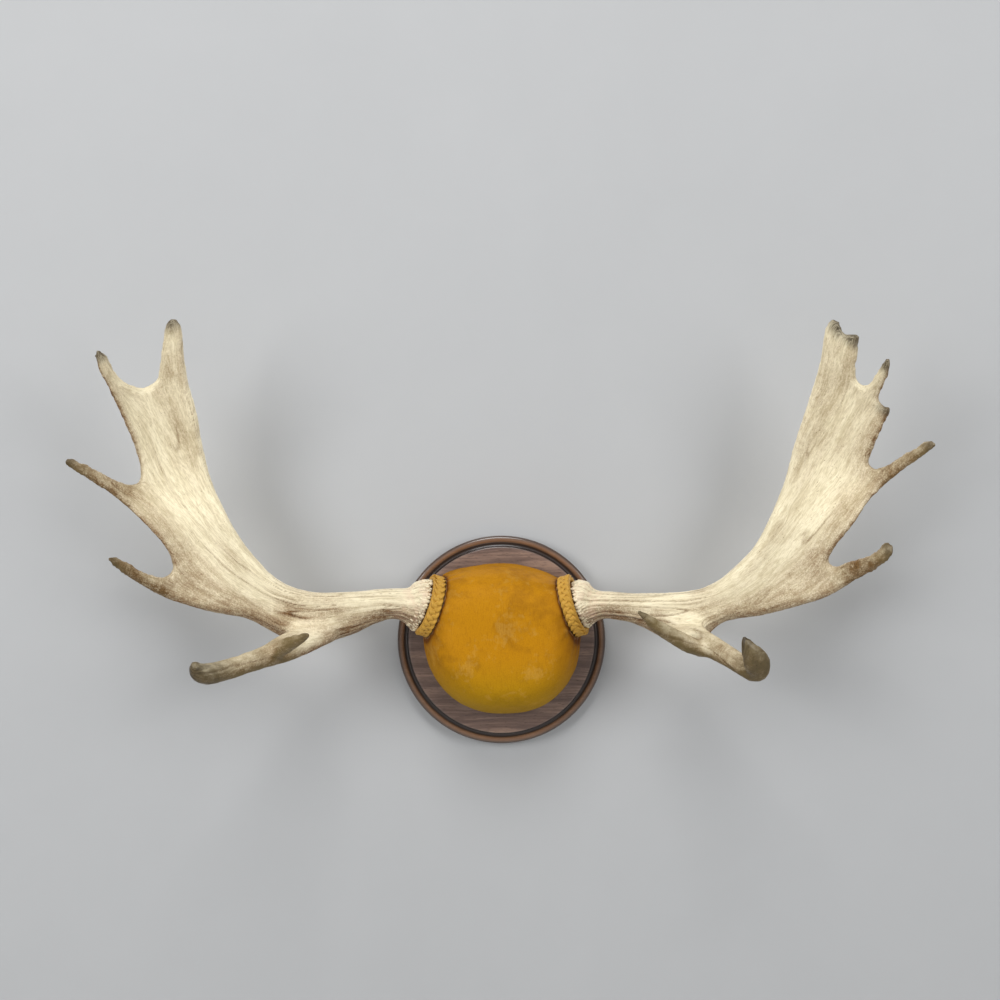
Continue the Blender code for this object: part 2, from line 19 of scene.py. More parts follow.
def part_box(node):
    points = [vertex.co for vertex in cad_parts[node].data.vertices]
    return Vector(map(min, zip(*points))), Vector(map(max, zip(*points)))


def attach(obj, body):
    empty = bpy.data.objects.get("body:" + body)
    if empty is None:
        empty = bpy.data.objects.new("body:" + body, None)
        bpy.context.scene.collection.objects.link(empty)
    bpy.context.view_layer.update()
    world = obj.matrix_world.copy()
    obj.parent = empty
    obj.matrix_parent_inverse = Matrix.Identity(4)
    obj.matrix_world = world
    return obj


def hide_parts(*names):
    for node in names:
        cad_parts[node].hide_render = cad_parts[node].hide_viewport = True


bl_info = {
    "name": "Antler Wall Mount",
    "version": (1, 0, 0),
    "blender": (4, 5, 0),
    "location": "3D View > Sidebar > Antler Mount",
    "description": "Finishes a wall-hung pair of moose antlers around its packed model",
    "category": "Object",
}

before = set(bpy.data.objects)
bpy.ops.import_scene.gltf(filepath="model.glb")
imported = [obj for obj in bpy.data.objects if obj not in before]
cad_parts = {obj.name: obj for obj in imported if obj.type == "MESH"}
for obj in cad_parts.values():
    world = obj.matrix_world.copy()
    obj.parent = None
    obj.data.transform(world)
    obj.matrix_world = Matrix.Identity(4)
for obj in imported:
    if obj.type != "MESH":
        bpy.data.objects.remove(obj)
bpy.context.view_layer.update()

MM = 0.001
SIDES = {"left": -1, "right": 1}
ANTLER_PARTS = ("beam", "palm", "brow_palm", "brow_point", "lower_tine", "middle_tine")
PEDICLE_TILT = math.radians(17.5)
PEDICLE_LEAN = math.radians(13)
PLAIT_RADIUS = 35.2 * MM
BURR_START = 7.8 * MM  # the antler's flat base, along the pedicle from the ring's centre
SAW_CUT = 0.25 * MM  # how far each part of an antler is grown, to close the saw cuts
# Teeth of the burr by row: share of the count, mm along the pedicle, size, stretch, and how far
# their hearts lie out of the bone in sizes
PEARL_ROWS = (
    (1.0, 9.3, 1.0, 1.7, -0.5), (0.8, 12.3, 0.68, 1.5, -0.5), (0.5, 17.0, 0.5, 2.4, -0.2),
)
LIGHT_AIM = Vector((0, -0.1, 0.1))
CAMERA_PLACE = (-0.0018, -1.9, 0.1706)
LENS = 55.5


def paint(code):
    """A linear colour from its six-digit sRGB code."""
    parts = [int(code[i:i + 2], 16) / 255 for i in (0, 2, 4)]
    linear = [c / 12.92 if c <= 0.04045 else ((c + 0.055) / 1.055) ** 2.4 for c in parts]
    return (*linear, 1.0)


# Settings a user may change

def colour(name, description, code):
    return FloatVectorProperty(
        name=name, description=description, default=paint(code), size=4,
        subtype="COLOR", min=0, max=1,
    )


def length(name, description, default):
    return FloatProperty(
        name=name, description=description, default=default * MM, min=0, max=1,
        unit="LENGTH", subtype="DISTANCE", precision=5,
    )


def share(name, description, default):
    return FloatProperty(
        name=name, description=description, default=default, min=0, max=1, subtype="FACTOR",
    )


def power(name, description, default):
    return FloatProperty(
        name=name, description=description, default=default, min=0, unit="POWER",
    )


class AntlerLook(bpy.types.PropertyGroup):
    bone_light: colour("Bone", "Pale threads of clean bone", "F4E8C8")
    bone_grey: colour("Palm", "Duller bone between the pale threads", "DACDAA")
    # Brown for real stain in the grooves and on tines and brows, also used as painted shade on the
    # undersides.
    brown_stain_and_shade: colour("Stain", "Brown stain on the undersides and in the grooves", "8C6538")
    # Weathered grey, laid on more thickly on undersides as painted shade.
    weathered_grey_and_shade: colour("Weathered", "Weathered tines and brow points", "73623C")
    tip_dark: colour("Tip", "Darkened tips of the points", "453A26")
    worn_pale: colour("Worn", "Polished ends and ridges", "F3E7C8")
    burr_pink: colour("Burr", "Pinkish bloom on the burr", "DDBBA2")
    groove_depth: length("Groove depth", "Depth of the blood-vessel grooves", 0.6)
    ridge_height: length("Ridge height", "Height of the long ridges beside the grooves", 0.34)
    lump_height: length("Unevenness", "Height of the broad swellings", 0.45)
    flute_height: length("Flutes", "Height of the ribs that run out from the burr", 0.25)
    pearl_size: length("Pearl size", "Radius of the teeth round each burr", 2.0)
    pearl_count: IntProperty(
        name="Pearls", description="Pearls in the outer row of each burr", default=42,
        min=8, max=90,
    )
    skin_step: length("Skin step", "Point spacing of the finished antler", 1.4)
    pores: share("Pores", "How dark the fine pores are", 0.55)


class LeatherLook(bpy.types.PropertyGroup):
    tan: colour("Tan", "The hide's own colour", "B67C02")
    scuffed: colour("Scuffed", "Where the nap is brushed up", "C29542")
    shaded: colour("Dark patches", "Oiled, flattened patches", "9E6902")
    # Painted shade: the lower part of the dome is dulled and darkened as if shaded from the light
    # above.
    olive_low_shade: colour("Lower side", "Duller hide low on the dome", "9F8208")
    thickness: length("Thickness", "Thickness of the hide", 1.8)
    fullness: share("Fullness", "How tightly the padding fills the cover", 0.92)
    pressure: FloatProperty(
        name="Padding pressure", description="Pressure that the padding swells the cover with",
        default=4.0, min=0, max=20,
    )
    most_swell: length("Most swell", "Furthest that the padding may push the hide", 2.6)
    pleat_height: length("Pleats", "Height of the pleats round each ring", 0.35)


class BraidLook(bpy.types.PropertyGroup):
    lace: colour("Lace", "Face of the plaited lace", "C6993F")
    lace_worn: colour("Worn lace", "Duller patches on the lace", "B08228")
    # Real darker cut edges, also used as painted shade where laces tuck under and in the gaps
    # between them.
    lace_edge_and_shade: colour("Lace edge", "Cut edges and hollows of the lace", "8C5E1C")
    lace_width: length("Lace width", "Width of one lace", 6.6)
    lace_thickness: length("Lace thickness", "Thickness of one lace", 2.1)
    turns: IntProperty(
        name="Turns", description="Full turns of the plait round one ring", default=9,
        min=4, max=30,
    )


class PlaqueLook(bpy.types.PropertyGroup):
    heart: colour("Walnut", "Middle tone of the walnut", "917666")
    dark: colour("Dark grain", "Dark lines of the grain", "5F483D")
    pale: colour("Pale grain", "Pale lines of the grain", "A2856F")
    cloudy: colour("Clouding", "Greyer patches in the walnut", "5A4A46")
    bead: colour("Bead", "Warmer walnut of the turned bead", "7A5638")
    # Dark stain in the groove, also used as painted shade on the panel's rounded corner and on the
    # rim's outer edge.
    groove: colour("Groove", "Dark stain in the turned groove", "1A0D08")
    turning_steps: IntProperty(
        name="Turning steps", description="Faces round the plaque", default=192, min=32, max=512,
    )


class HardwareLook(bpy.types.PropertyGroup):
    steel: colour("Steel", "Screws, nails and hanger plate", "B9BBBD")
    steel_dull: colour("Dull steel", "Oxidised patches", "77787A")
    plaster: colour("Skull", "Skull plate and pedicles, stained by the hide", "86581F")
    plaster_dark: colour("Skull hollows", "Its darker hollows", "4E3214")


class StageLook(bpy.types.PropertyGroup):
    wall: colour("Wall", "Wall behind the mount", "B4B5B6")
    floor: colour("Floor", "Floor under the mount", "C9C9C8")
    floor_drop: FloatProperty(
        name="Floor drop", description="Height of the mount's centre above the floor",
        default=1.25, min=0.4, max=3, unit="LENGTH",
    )
    side_power: power("Side lights", "Power of each side light", 31.0)
    top_power: power("Top light", "Power of the overhead light", 46.0)
    back_power: power("Back light", "Power of the light behind the wall", 16.0)
    ambient: FloatProperty(
        name="Ambient", description="Strength of the even light all round", default=0.33, min=0,
    )


LOOKS = {
    "mount_antlers": AntlerLook, "mount_leather": LeatherLook, "mount_braids": BraidLook,
    "mount_plaque": PlaqueLook, "mount_hardware": HardwareLook, "mount_stage": StageLook,
}


# Meshes and fields

def points_of(mesh, field="co"):
    flat = np.empty(3 * len(mesh.vertices), np.float32)
    mesh.vertices.foreach_get(field, flat)
    return flat.reshape(-1, 3).astype(float)


def normals_of(mesh):
    return points_of(mesh, "normal")


def move_points(mesh, places):
    mesh.vertices.foreach_set("co", places.astype(np.float32).ravel())
    mesh.update()


def push_out(mesh, normals, height):
    move_points(mesh, points_of(mesh) + normals * height[:, None])


def store(mesh, name, values):
    """Keeps one number or one vector per point, for the materials to read."""
    vector = values.ndim == 2
    layer = mesh.attributes.new(name, "FLOAT_VECTOR" if vector else "FLOAT", "POINT")
    layer.data.foreach_set("vector" if vector else "value", values.astype(np.float32).ravel())


def stored(mesh, name):
    """What store() kept."""
    layer = mesh.attributes[name]
    vector = layer.data_type == "FLOAT_VECTOR"
    flat = np.empty(len(mesh.vertices) * (3 if vector else 1), np.float32)
    layer.data.foreach_get("vector" if vector else "value", flat)
    return flat.reshape(-1, 3).astype(float) if vector else flat.astype(float)


def step(low, high, value):
    """0 below low, 1 above high, and a smooth rise between."""
    part = np.clip((value - low) / (high - low), 0, 1)
    return part * part * (3 - 2 * part)


def bell(value, middle, width):
    """1 at the middle, falling off smoothly to each side."""
    return np.exp(-((value - middle) / width) ** 2)


def squared(wave, power):
    """A wave with fuller shoulders the lower the power."""
    return np.sign(wave) * np.abs(wave) ** power


class Web:
    """The edges of a mesh, for passing values from each point to its neighbours."""

    def __init__(self, mesh):
        flat = np.empty(2 * len(mesh.edges), np.int32)
        mesh.edges.foreach_get("vertices", flat)
        self.start, self.end = flat.reshape(-1, 2).T
        self.count = len(mesh.vertices)
        self.links = np.maximum(self.total(np.ones(self.count)), 1)

    def total(self, values):
        forward = np.bincount(self.start, values[self.end], self.count)
        return forward + np.bincount(self.end, values[self.start], self.count)

    def around(self, values):
        if values.ndim == 1:
            return self.total(values) / self.links
        return np.stack([self.around(column) for column in values.T], 1)

    def spread(self, values, rounds, rate=0.6):
        for _ in range(rounds):
            values = values + rate * (self.around(values) - values)
        return values

    def fair(self, places, rounds, free, push=0.5, pull=-0.526):
        """Smooths without shrinking. Points where free is 0 stay where they are."""
        for _ in range(rounds):
            for rate in (push, pull):
                places = places + free[:, None] * rate * (self.around(places) - places)
        return places

    def bend(self, places, normals):
        """How far each point lies below its neighbours."""
        return ((self.around(places) - places) * normals).sum(1)


def cloud(places, size, seed):
    """Smooth random values from -1 to 1 that change over that size."""
    cells = 32
    lattice = np.random.default_rng(seed).uniform(-1, 1, (cells, cells, cells))
    spot = places / size + 0.37 * seed
    base = np.floor(spot).astype(int)
    part = spot - base
    part = part * part * (3 - 2 * part)
    value = np.zeros(len(places))
    for corner in np.ndindex(2, 2, 2):
        weight = np.prod(np.where(corner, part, 1 - part), axis=1)
        value += weight * lattice[tuple(((base + corner) % cells).T)]
    return value


def finished(mesh, kind, **settings):
    """The mesh after a modifier of that kind with these settings."""
    carrier = bpy.data.objects.new("carrier", mesh)
    bpy.context.scene.collection.objects.link(carrier)
    modifier = carrier.modifiers.new(kind.title(), kind)
    for name, value in settings.items():
        setattr(modifier, name, value)
    graph = bpy.context.evaluated_depsgraph_get()
    made = bpy.data.meshes.new_from_object(carrier.evaluated_get(graph))
    bpy.data.objects.remove(carrier)
    return made


def subdivided(mesh):
    return finished(mesh, "SUBSURF", levels=1, render_levels=1)


def mesh_of(bm, name):
    mesh = bpy.data.meshes.new(name)
    bm.to_mesh(mesh)
    bm.free()
    return mesh


def joined(meshes, name):
    bm = bmesh.new()
    for mesh in meshes:
        bm.from_mesh(mesh)
        bpy.data.meshes.remove(mesh)
    return mesh_of(bm, name)


def faced_out(bm):
    bmesh.ops.recalc_face_normals(bm, faces=bm.faces)
    return bm


def add_piece(name, mesh, material, nodes):
    """Links a finished piece, rides it on the mount and hides the CAD nodes that it stands for."""
    mesh.name = name
    piece = bpy.data.objects.new(name, mesh)
    bpy.context.scene.collection.objects.link(piece)
    mesh.materials.clear()
    mesh.materials.append(material)
    mesh.shade_smooth()
    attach(piece, "root")
    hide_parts(*nodes)
    return piece


def main_shell(mesh):
    """Leaves only the largest connected part of a mesh."""
    web = Web(mesh)
    label = np.arange(web.count)
    while True:
        low = np.minimum(label[web.start], label[web.end])
        lower = label.copy()
        np.minimum.at(lower, web.start, low)
        np.minimum.at(lower, web.end, low)
        lower = lower[lower]
        if (lower == label).all():
            break
        label = lower
    main = np.bincount(label).argmax()
    if (label != main).any():
        bm = bmesh.new()
        bm.from_mesh(mesh)
        loose = [v for v in bm.verts if label[v.index] != main]
        bmesh.ops.delete(bm, geom=loose, context="VERTS")
        bm.to_mesh(mesh)
        bm.free()
    return mesh


def skin_round(nodes, voxel, push=0.0):
    """One closed skin round several CAD nodes, each grown by push, with their gaps closed."""
    pieces = []
    for node in nodes:
        bm = bmesh.new()
        bm.from_mesh(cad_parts[node].data)
        bmesh.ops.remove_doubles(bm, verts=bm.verts, dist=0.01 * MM)
        faced_out(bm).normal_update()
        for vert in bm.verts:
            vert.co += vert.normal * push
        pieces.append(mesh_of(bm, "part"))
    core = joined(pieces, "core")
    return main_shell(finished(core, "REMESH", mode="VOXEL", voxel_size=voxel))


def pedicle(side):
    """Centre of one ring, the way its antler leaves the skull, and two directions across it."""
    low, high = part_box(f"{side}_braid")
    flat = math.cos(PEDICLE_TILT)
    axis = Vector((
        SIDES[side] * flat * math.cos(PEDICLE_LEAN),
        -flat * math.sin(PEDICLE_LEAN),
        math.sin(PEDICLE_TILT),
    ))
    across = axis.cross(Vector((0, 1, 0))).normalized()
    return (low + high) / 2, axis, across, axis.cross(across)


def pedicle_arrays(side):
    return [np.array(part) for part in pedicle(side)]


def from_ring(side, places):
    """Each point's arm from a ring's centre, its reach along the pedicle, and its distance."""
    centre, axis, _, _ = pedicle_arrays(side)
    arm = places - centre
    return arm, arm @ axis, np.linalg.norm(arm, axis=1)


def turn_of(side, arm):
    """Angle of each arm round the pedicle."""
    _, _, across, up = pedicle_arrays(side)
    return np.arctan2(arm @ up, arm @ across)


# Antlers

def pearls(side, look, skin, seed):
    """Ragged teeth round the burr, pointing back at the ring, and smaller pearls behind them."""
    centre, axis, across, up = pedicle(side)
    rng = np.random.default_rng(seed)
    skin.calc_loop_triangles()
    corners = [triangle.vertices[:] for triangle in skin.loop_triangles]
    surface = BVHTree.FromPolygons([vert.co for vert in skin.vertices], corners)
    bm = bmesh.new()
    for part, along, scale, stretch, sink in PEARL_ROWS:
        count = int(look.pearl_count * part)
        for k in range(count):
            turn = 2 * math.pi * (k + rng.uniform(-0.35, 0.35)) / count
            radial = across * math.cos(turn) + up * math.sin(turn)
            size = look.pearl_size * scale * rng.uniform(0.6, 1.3)
            heart = centre + axis * (along + rng.uniform(-0.6, 1.1)) * MM
            found = surface.ray_cast(heart, radial, 50 * MM)[0]
            if found is None:
                continue
            place = found + radial * size * (sink + rng.uniform(-0.25, 0.15))
            lean = (axis + radial * rng.uniform(-0.8, -0.1)).normalized()
            turned = lean.to_track_quat("Z", "X").to_matrix().to_4x4()
            shape = Matrix.Diagonal((size, size * rng.uniform(0.7, 1.1), size * stretch, 1))
            bmesh.ops.create_icosphere(
                bm, subdivisions=2, radius=1, matrix=Matrix.Translation(place) @ turned @ shape)
    mesh = mesh_of(bm, "pearls")
    places = points_of(mesh)
    rough = cloud(places, 1.9 * MM, seed + 1) + 0.6 * cloud(places, 1.0 * MM, seed + 2)
    push_out(mesh, normals_of(mesh), 0.5 * MM * rough)
    return mesh


def way_from(web, places, sources):
    """Shortest way over the edges from each point to the sources."""
    gaps = np.linalg.norm(places[web.start] - places[web.end], axis=1)
    links = [[] for _ in range(web.count)]
    for a, b, gap in zip(web.start.tolist(), web.end.tolist(), gaps.tolist()):
        links[a].append((b, gap))
        links[b].append((a, gap))
    far = [math.inf] * web.count
    todo = [(0.0, int(point)) for point in sources]
    for _, point in todo:
        far[point] = 0.0
    heapq.heapify(todo)
    while todo:
        done, point = heapq.heappop(todo)
        if done > far[point]:
            continue
        for other, gap in links[point]:
            if done + gap < far[other]:
                far[other] = done + gap
                heapq.heappush(todo, (far[other], other))
    return np.array(far)


def peaks(web, values, rounds):
    """Points that are the highest of all within that many edges."""
    top = values.copy()
    for _ in range(rounds):
        higher = np.maximum(top[web.start], top[web.end])
        np.maximum.at(top, web.start, higher)
        np.maximum.at(top, web.end, higher)
    return np.flatnonzero(values >= top)


def settled(web, source, held, rounds=2500, close=1e-14):
    """Height of a stretched sheet that source pushes up and held pins to zero."""
    height = np.zeros(web.count)
    left = np.where(held, 0, source)
    push, size = left.copy(), left @ left
    goal = close * size
    for _ in range(rounds):
        pulled = np.where(held, 0, web.links * push - web.total(push))
        stride = size / (push @ pulled)
        height += stride * push
        left = left - stride * pulled
        size, before = left @ left, size
        if size < goal:
            break
        push = left + size / before * push
    return height


def fibre_starts(web, rise, starts):
    """Follows the bone's fibres down to the burr: where each point's fibres set out."""
    below = [[] for _ in range(web.count)]
    climb = rise[web.start] - rise[web.end]
    for a, b, amount in zip(web.start.tolist(), web.end.tolist(), climb.tolist()):
        if amount > 0:
            below[a].append((b, amount))
        else:
            below[b].append((a, -amount))
    lanes = starts.tolist()
    for point in np.argsort(rise).tolist():
        if rise[point] <= 0:
            continue
        x = y = z = whole = 0.0
        for other, amount in below[point]:
            lane = lanes[other]
            x += amount * lane[0]
            y += amount * lane[1]
            z += amount * lane[2]
            whole += amount
        if whole > 0:
            lanes[point] = [x / whole, y / whole, z / whole]
    return np.array(lanes)


def grow(side, core):
    """Smooths the core, more gently at its tips, and keeps on it the fibres' starts, the way to
    the nearest tip and each part's share."""
    web = Web(core)
    places = points_of(core)
    arm, along, off = from_ring(side, places)
    base = (off < 38 * MM) & (along < BURR_START + 1.5 * MM)
    far = way_from(web, places, np.flatnonzero(base))
    tips = peaks(web, far, 6)
    source = np.full(web.count, 0.25 / web.count)
    source[tips] += far[tips] ** 2 / (far[tips] ** 2).sum()
    rise = settled(web, source, base)
    lanes = fibre_starts(web, rise, arm - np.outer(along, pedicle_arrays(side)[1]))
    tip_way = web.spread(way_from(web, places, tips), 3)
    store(core, "lane", web.spread(lanes, 4))
    store(core, "tip_way", tip_way)

    parts = [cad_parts[f"{side}_{part}"].data.vertices for part in ANTLER_PARTS]
    tree = KDTree(sum(len(verts) for verts in parts))
    kinds = []
    for number, verts in enumerate(parts):
        for vert in verts:
            tree.insert(vert.co, len(kinds))
            kinds.append(number)
    tree.balance()
    part_of = np.array([kinds[tree.find(place)[1]] for place in places.tolist()])
    for number, part in enumerate(ANTLER_PARTS):
        store(core, part, web.spread((part_of == number).astype(float), 36))
    free = 0.7 + 0.3 * step(2 * MM, 14 * MM, tip_way)
    move_points(core, web.fair(places, 26, free))


def taken(skin):
    """Takes what grow() kept off the skin, with both tines and both brow parts added up."""
    names = ("lane", "tip_way", *ANTLER_PARTS)
    bone = SimpleNamespace(**{name: stored(skin, name) for name in names})
    for name in names:
        skin.attributes.remove(skin.attributes[name])
    bone.brow = bone.brow_palm + bone.brow_point
    bone.tine = bone.lower_tine + bone.middle_tine
    return bone


def carve(side, look, seed, skin, web, bone):
    """Raises the ridges, flutes and lumps of the bone and sinks its blood-vessel grooves."""
    places, normals = points_of(skin), normals_of(skin)

    def grain(size, reach, number):
        drawn = cloud(bone.lane / (size * MM) + places / (reach * MM), 1.0, seed + number)
        return drawn / drawn.std()

    broad, bone.threads = grain(6, 70, 1), grain(3, 45, 2)
    patch = cloud(places, 38 * MM, seed + 4) + 0.5 * cloud(places, 17 * MM, seed + 5)
    bone.vessel = bell(grain(11, 130, 3), 0, 0.09) * step(-0.3, 0.6, patch + 0.3 * bone.beam)
    _, along, far = from_ring(side, places)
    bone.burr = 1 - step(28 * MM, 60 * MM, far)
    body = step(2 * MM, 40 * MM, bone.tip_way)
    strength = body * (1.1 * bone.beam + 0.32 * bone.palm + 0.35 * bone.tine + 0.5 * bone.brow)
    underside = step(0.1, 0.85, -normals[:, 2]) * (bone.beam + 0.35 * bone.brow)
    height = look.ridge_height * strength * (0.6 * broad + 0.5 * bone.threads)
    height += look.ridge_height * underside * 1.1 * np.abs(bone.threads)
    height -= look.groove_depth * bone.vessel * np.minimum(strength, 1.0)
    wander = 3.5 * cloud(places, 13 * MM, seed + 9)
    flute = squared(np.cos(look.pearl_count * turn_of(side, bone.lane) + wander), 0.8)
    fade = 0.4 + 0.6 * np.exp(-np.maximum(along - BURR_START, 0) / (9 * MM))
    height += look.flute_height * bone.burr * fade * flute
    height -= web.spread(height, 60)
    thick = 1 - 0.4 * bone.palm - 0.75 * bone.tine - 0.6 * bone.brow
    height += look.lump_height * body * thick * (cloud(places, 26 * MM, seed + 6) + 0.3 * patch)
    base = step(BURR_START - 0.2 * MM, BURR_START + 2.5 * MM, along)
    height *= np.where(far < 45 * MM, base, 1)
    bone.shape = web.spread(web.bend(places, normals), 4) / look.skin_step
    push_out(skin, normals, np.clip(height, -1.5 * MM, 1.5 * MM))


def weather(look, seed, skin, web, bone):
    """Where the bone is stained, old, dark at its tips, worn or hollow, for its material. The stain
    and old masks also hold painted shade on the undersides and the sides facing the wall, and hollow
    is painted shade.
    """
    places, normals = points_of(skin), normals_of(skin)
    bend = web.spread(web.bend(places, normals) / look.skin_step, 1) - bone.shape
    edge = step(0.03, 0.1, -bone.shape) * bone.palm
    fringe = np.clip(2.5 * web.spread(edge, 14), 0, 1)
    # under and behind mark the undersides and the sides facing the wall; the masks below use them to
    # paint shade there.
    under = step(-0.2, 0.8, -normals[:, 2])
    behind = step(0.0, 0.9, normals[:, 1])
    width = np.maximum(np.linalg.norm(bone.lane, axis=1), 1 * MM)
    low_lane = step(0.25, 0.95, -bone.lane[:, 2] / width)
    patch = cloud(places, 42 * MM, seed + 7) + 0.6 * cloud(places, 15 * MM, seed + 8)
    tip_way, palm, tine, brow = bone.tip_way, bone.palm, bone.tine, bone.brow

    # Painted shade: undersides and sides facing the wall are browned as if in shadow, on top of real
    # stain on tines, brows, palm edges, vessel grooves and patches.
    stain_and_shade = under * (0.95 * (bone.beam + tine + brow) + 0.45 * palm)
    stain_and_shade += 0.62 * tine + 0.42 * brow + palm * (0.3 * fringe + 0.42 * low_lane)
    stain_and_shade += 0.08 * bone.beam + 0.1 * behind + 0.28 * patch * (1 - 0.6 * palm)
    stain_and_shade += 0.25 * bone.vessel + 0.08 * bone.threads * (1 - 0.5 * palm) - 0.08

    forward = -places[:, 1]
    brow_end = brow * step(forward.max() - 58 * MM, forward.max() - 12 * MM, forward)
    # Weathered grey on tines and brows, stronger on their undersides: real weathering plus painted
    # shade.
    old_and_shaded = tine * (0.62 + 0.45 * under) + brow * (0.36 + 0.8 * under)
    old_and_shaded *= 1 - 0.6 * step(14 * MM, 60 * MM, tip_way) * tine
    old_and_shaded = (old_and_shaded + 0.75 * bone.brow_point + 0.5 * brow_end) * step(-2.2, -0.1, patch)

    top = (palm + 0.75 * tine) * (1 - step(4 * MM, 26 * MM, tip_way + 5 * MM * patch))
    brow_tip = 0.6 * brow_end + 0.55 * brow * (1 - step(3 * MM, 24 * MM, tip_way))
    polish = 1 - step(0.5 * MM, 3.5 * MM, tip_way + 1 * MM * patch)
    worn = 0.4 * step(0.006, 0.05, -bend) + (0.3 * tine + 0.5 * bone.brow_point) * polish
    return {
        "lane": bone.lane, "stain_and_shade": stain_and_shade, "old_and_shaded": old_and_shaded, "palm": palm, "burr": bone.burr,
        "vessel": bone.vessel, "tip": np.maximum(top, brow_tip), "worn": worn,
        # Concave places, which the material darkens as painted shade.
        "hollow_shade": step(0.006, 0.06, bend),
    }


def antler_mesh(side, look, seed):
    """The finished skin of one antler with its pearls, and the fields that its material reads."""
    nodes = [f"{side}_{part}" for part in ANTLER_PARTS]
    core = skin_round(nodes, 2 * look.skin_step, SAW_CUT)
    grow(side, core)
    skin = subdivided(core)
    bpy.data.meshes.remove(core)
    web, bone = Web(skin), taken(skin)
    carve(side, look, seed, skin, web, bone)
    marks = weather(look, seed, skin, web, bone)

    knobs = pearls(side, look, skin, seed)
    arm, along, _ = from_ring(side, points_of(knobs))
    flat = arm - np.outer(along, pedicle_arrays(side)[1])
    out = np.linalg.norm(flat, axis=1) + 0.4 * (along - BURR_START)
    # The pearls' sunken bases, darkened as painted shade between the teeth.
    sunk = 1 - step(26.5 * MM, 30.5 * MM, out)
    plain = np.zeros(len(arm))
    on_knobs = {"lane": flat, "burr": plain + 1, "hollow_shade": sunk, "worn": 0.8 * (1 - sunk)}
    mesh = joined((skin, knobs), "antler")
    for name, values in marks.items():
        values = np.concatenate([values, on_knobs.get(name, plain)])
        store(mesh, name, values if values.ndim == 2 else np.clip(values, 0, 1))
    return mesh


# Leather cover

def past_rings(places, reach):
    """True for points round a pedicle that lie further out than reach from its ring's middle."""
    found = np.zeros(len(places), bool)
    for side in SIDES:
        _, along, far = from_ring(side, places)
        found |= (far < 46 * MM) & (along > reach)
    return found


def cover_face():
    """The outer face of the cover, run on under both rings and open there and at the plaque."""
    core = skin_round(("leather_cover", "skull_form"), 2.8 * MM)
    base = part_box("leather_cover")[1].y - 0.6 * MM
    bm = bmesh.new()
    bm.from_mesh(core)
    bpy.data.meshes.remove(core)
    spots = np.array([face.calc_center_median() for face in bm.faces])
    bm.faces.ensure_lookup_table()
    unseen = np.flatnonzero((spots[:, 1] > base) | past_rings(spots, -1 * MM))
    bmesh.ops.delete(bm, geom=[bm.faces[k] for k in unseen], context="FACES")
    return main_shell(mesh_of(bm, "face"))


def rim_of(mesh):
    """1 at each point on an open edge of a mesh, 0 elsewhere."""
    bm = bmesh.new()
    bm.from_mesh(mesh)
    rim = np.array([float(vert.is_boundary) for vert in bm.verts])
    bm.free()
    return rim


def swell(mesh, rim, look, frames=20):
    """Pushes the cover out by its padding, as cloth pinned along its rim."""
    piece = bpy.data.objects.new("padding", mesh)
    scene = bpy.context.scene
    scene.collection.objects.link(piece)
    pins = piece.vertex_groups.new(name="pinned")
    pins.add(np.flatnonzero(rim > 0).tolist(), 1.0, "REPLACE")
    cloth = piece.modifiers.new("Padding", "CLOTH")
    cloth.settings.use_pressure = True
    cloth.settings.uniform_pressure_force = look.pressure
    cloth.settings.effector_weights.gravity = 0
    cloth.settings.vertex_group_mass = "pinned"
    cloth.settings.tension_stiffness = 40
    cloth.settings.compression_stiffness = 40
    cloth.settings.bending_stiffness = 4
    cloth.settings.quality = 5
    cloth.point_cache.frame_start = 1
    cloth.point_cache.frame_end = frames
    before = points_of(mesh)
    for number in range(1, frames + 1):
        scene.frame_set(number)
    graph = bpy.context.evaluated_depsgraph_get()
    after = points_of(piece.evaluated_get(graph).data)
    bpy.data.objects.remove(piece)
    scene.frame_set(1)
    shift = after - before
    size = np.linalg.norm(shift, axis=1)
    capped = look.most_swell * np.tanh(size / look.most_swell)
    return before + shift * (capped / np.maximum(size, 1e-9))[:, None]


def drawn_over(face, look):
    """Fairs and pads the cover's face, then draws it back to the form under it."""
    surface = BVHTree.FromPolygons(
        [vert.co for vert in face.vertices], [one.vertices[:] for one in face.polygons])
    web = Web(face)
    rim = np.maximum(rim_of(face), past_rings(points_of(face), -8.5 * MM))
    free = 1 - rim
    places = web.fair(points_of(face), 160, free, 0.5, -0.51)
    move_points(face, places)
    places = web.fair(swell(face, rim, look), 12, free)
    move_points(face, places)
    normals = normals_of(face)
    found = np.array([surface.find_nearest(place)[0] for place in places.tolist()])
    gap = web.spread(((found - places) * normals).sum(1), 40) * free
    move_points(face, places + normals * gap[:, None])
    return subdivided(face)


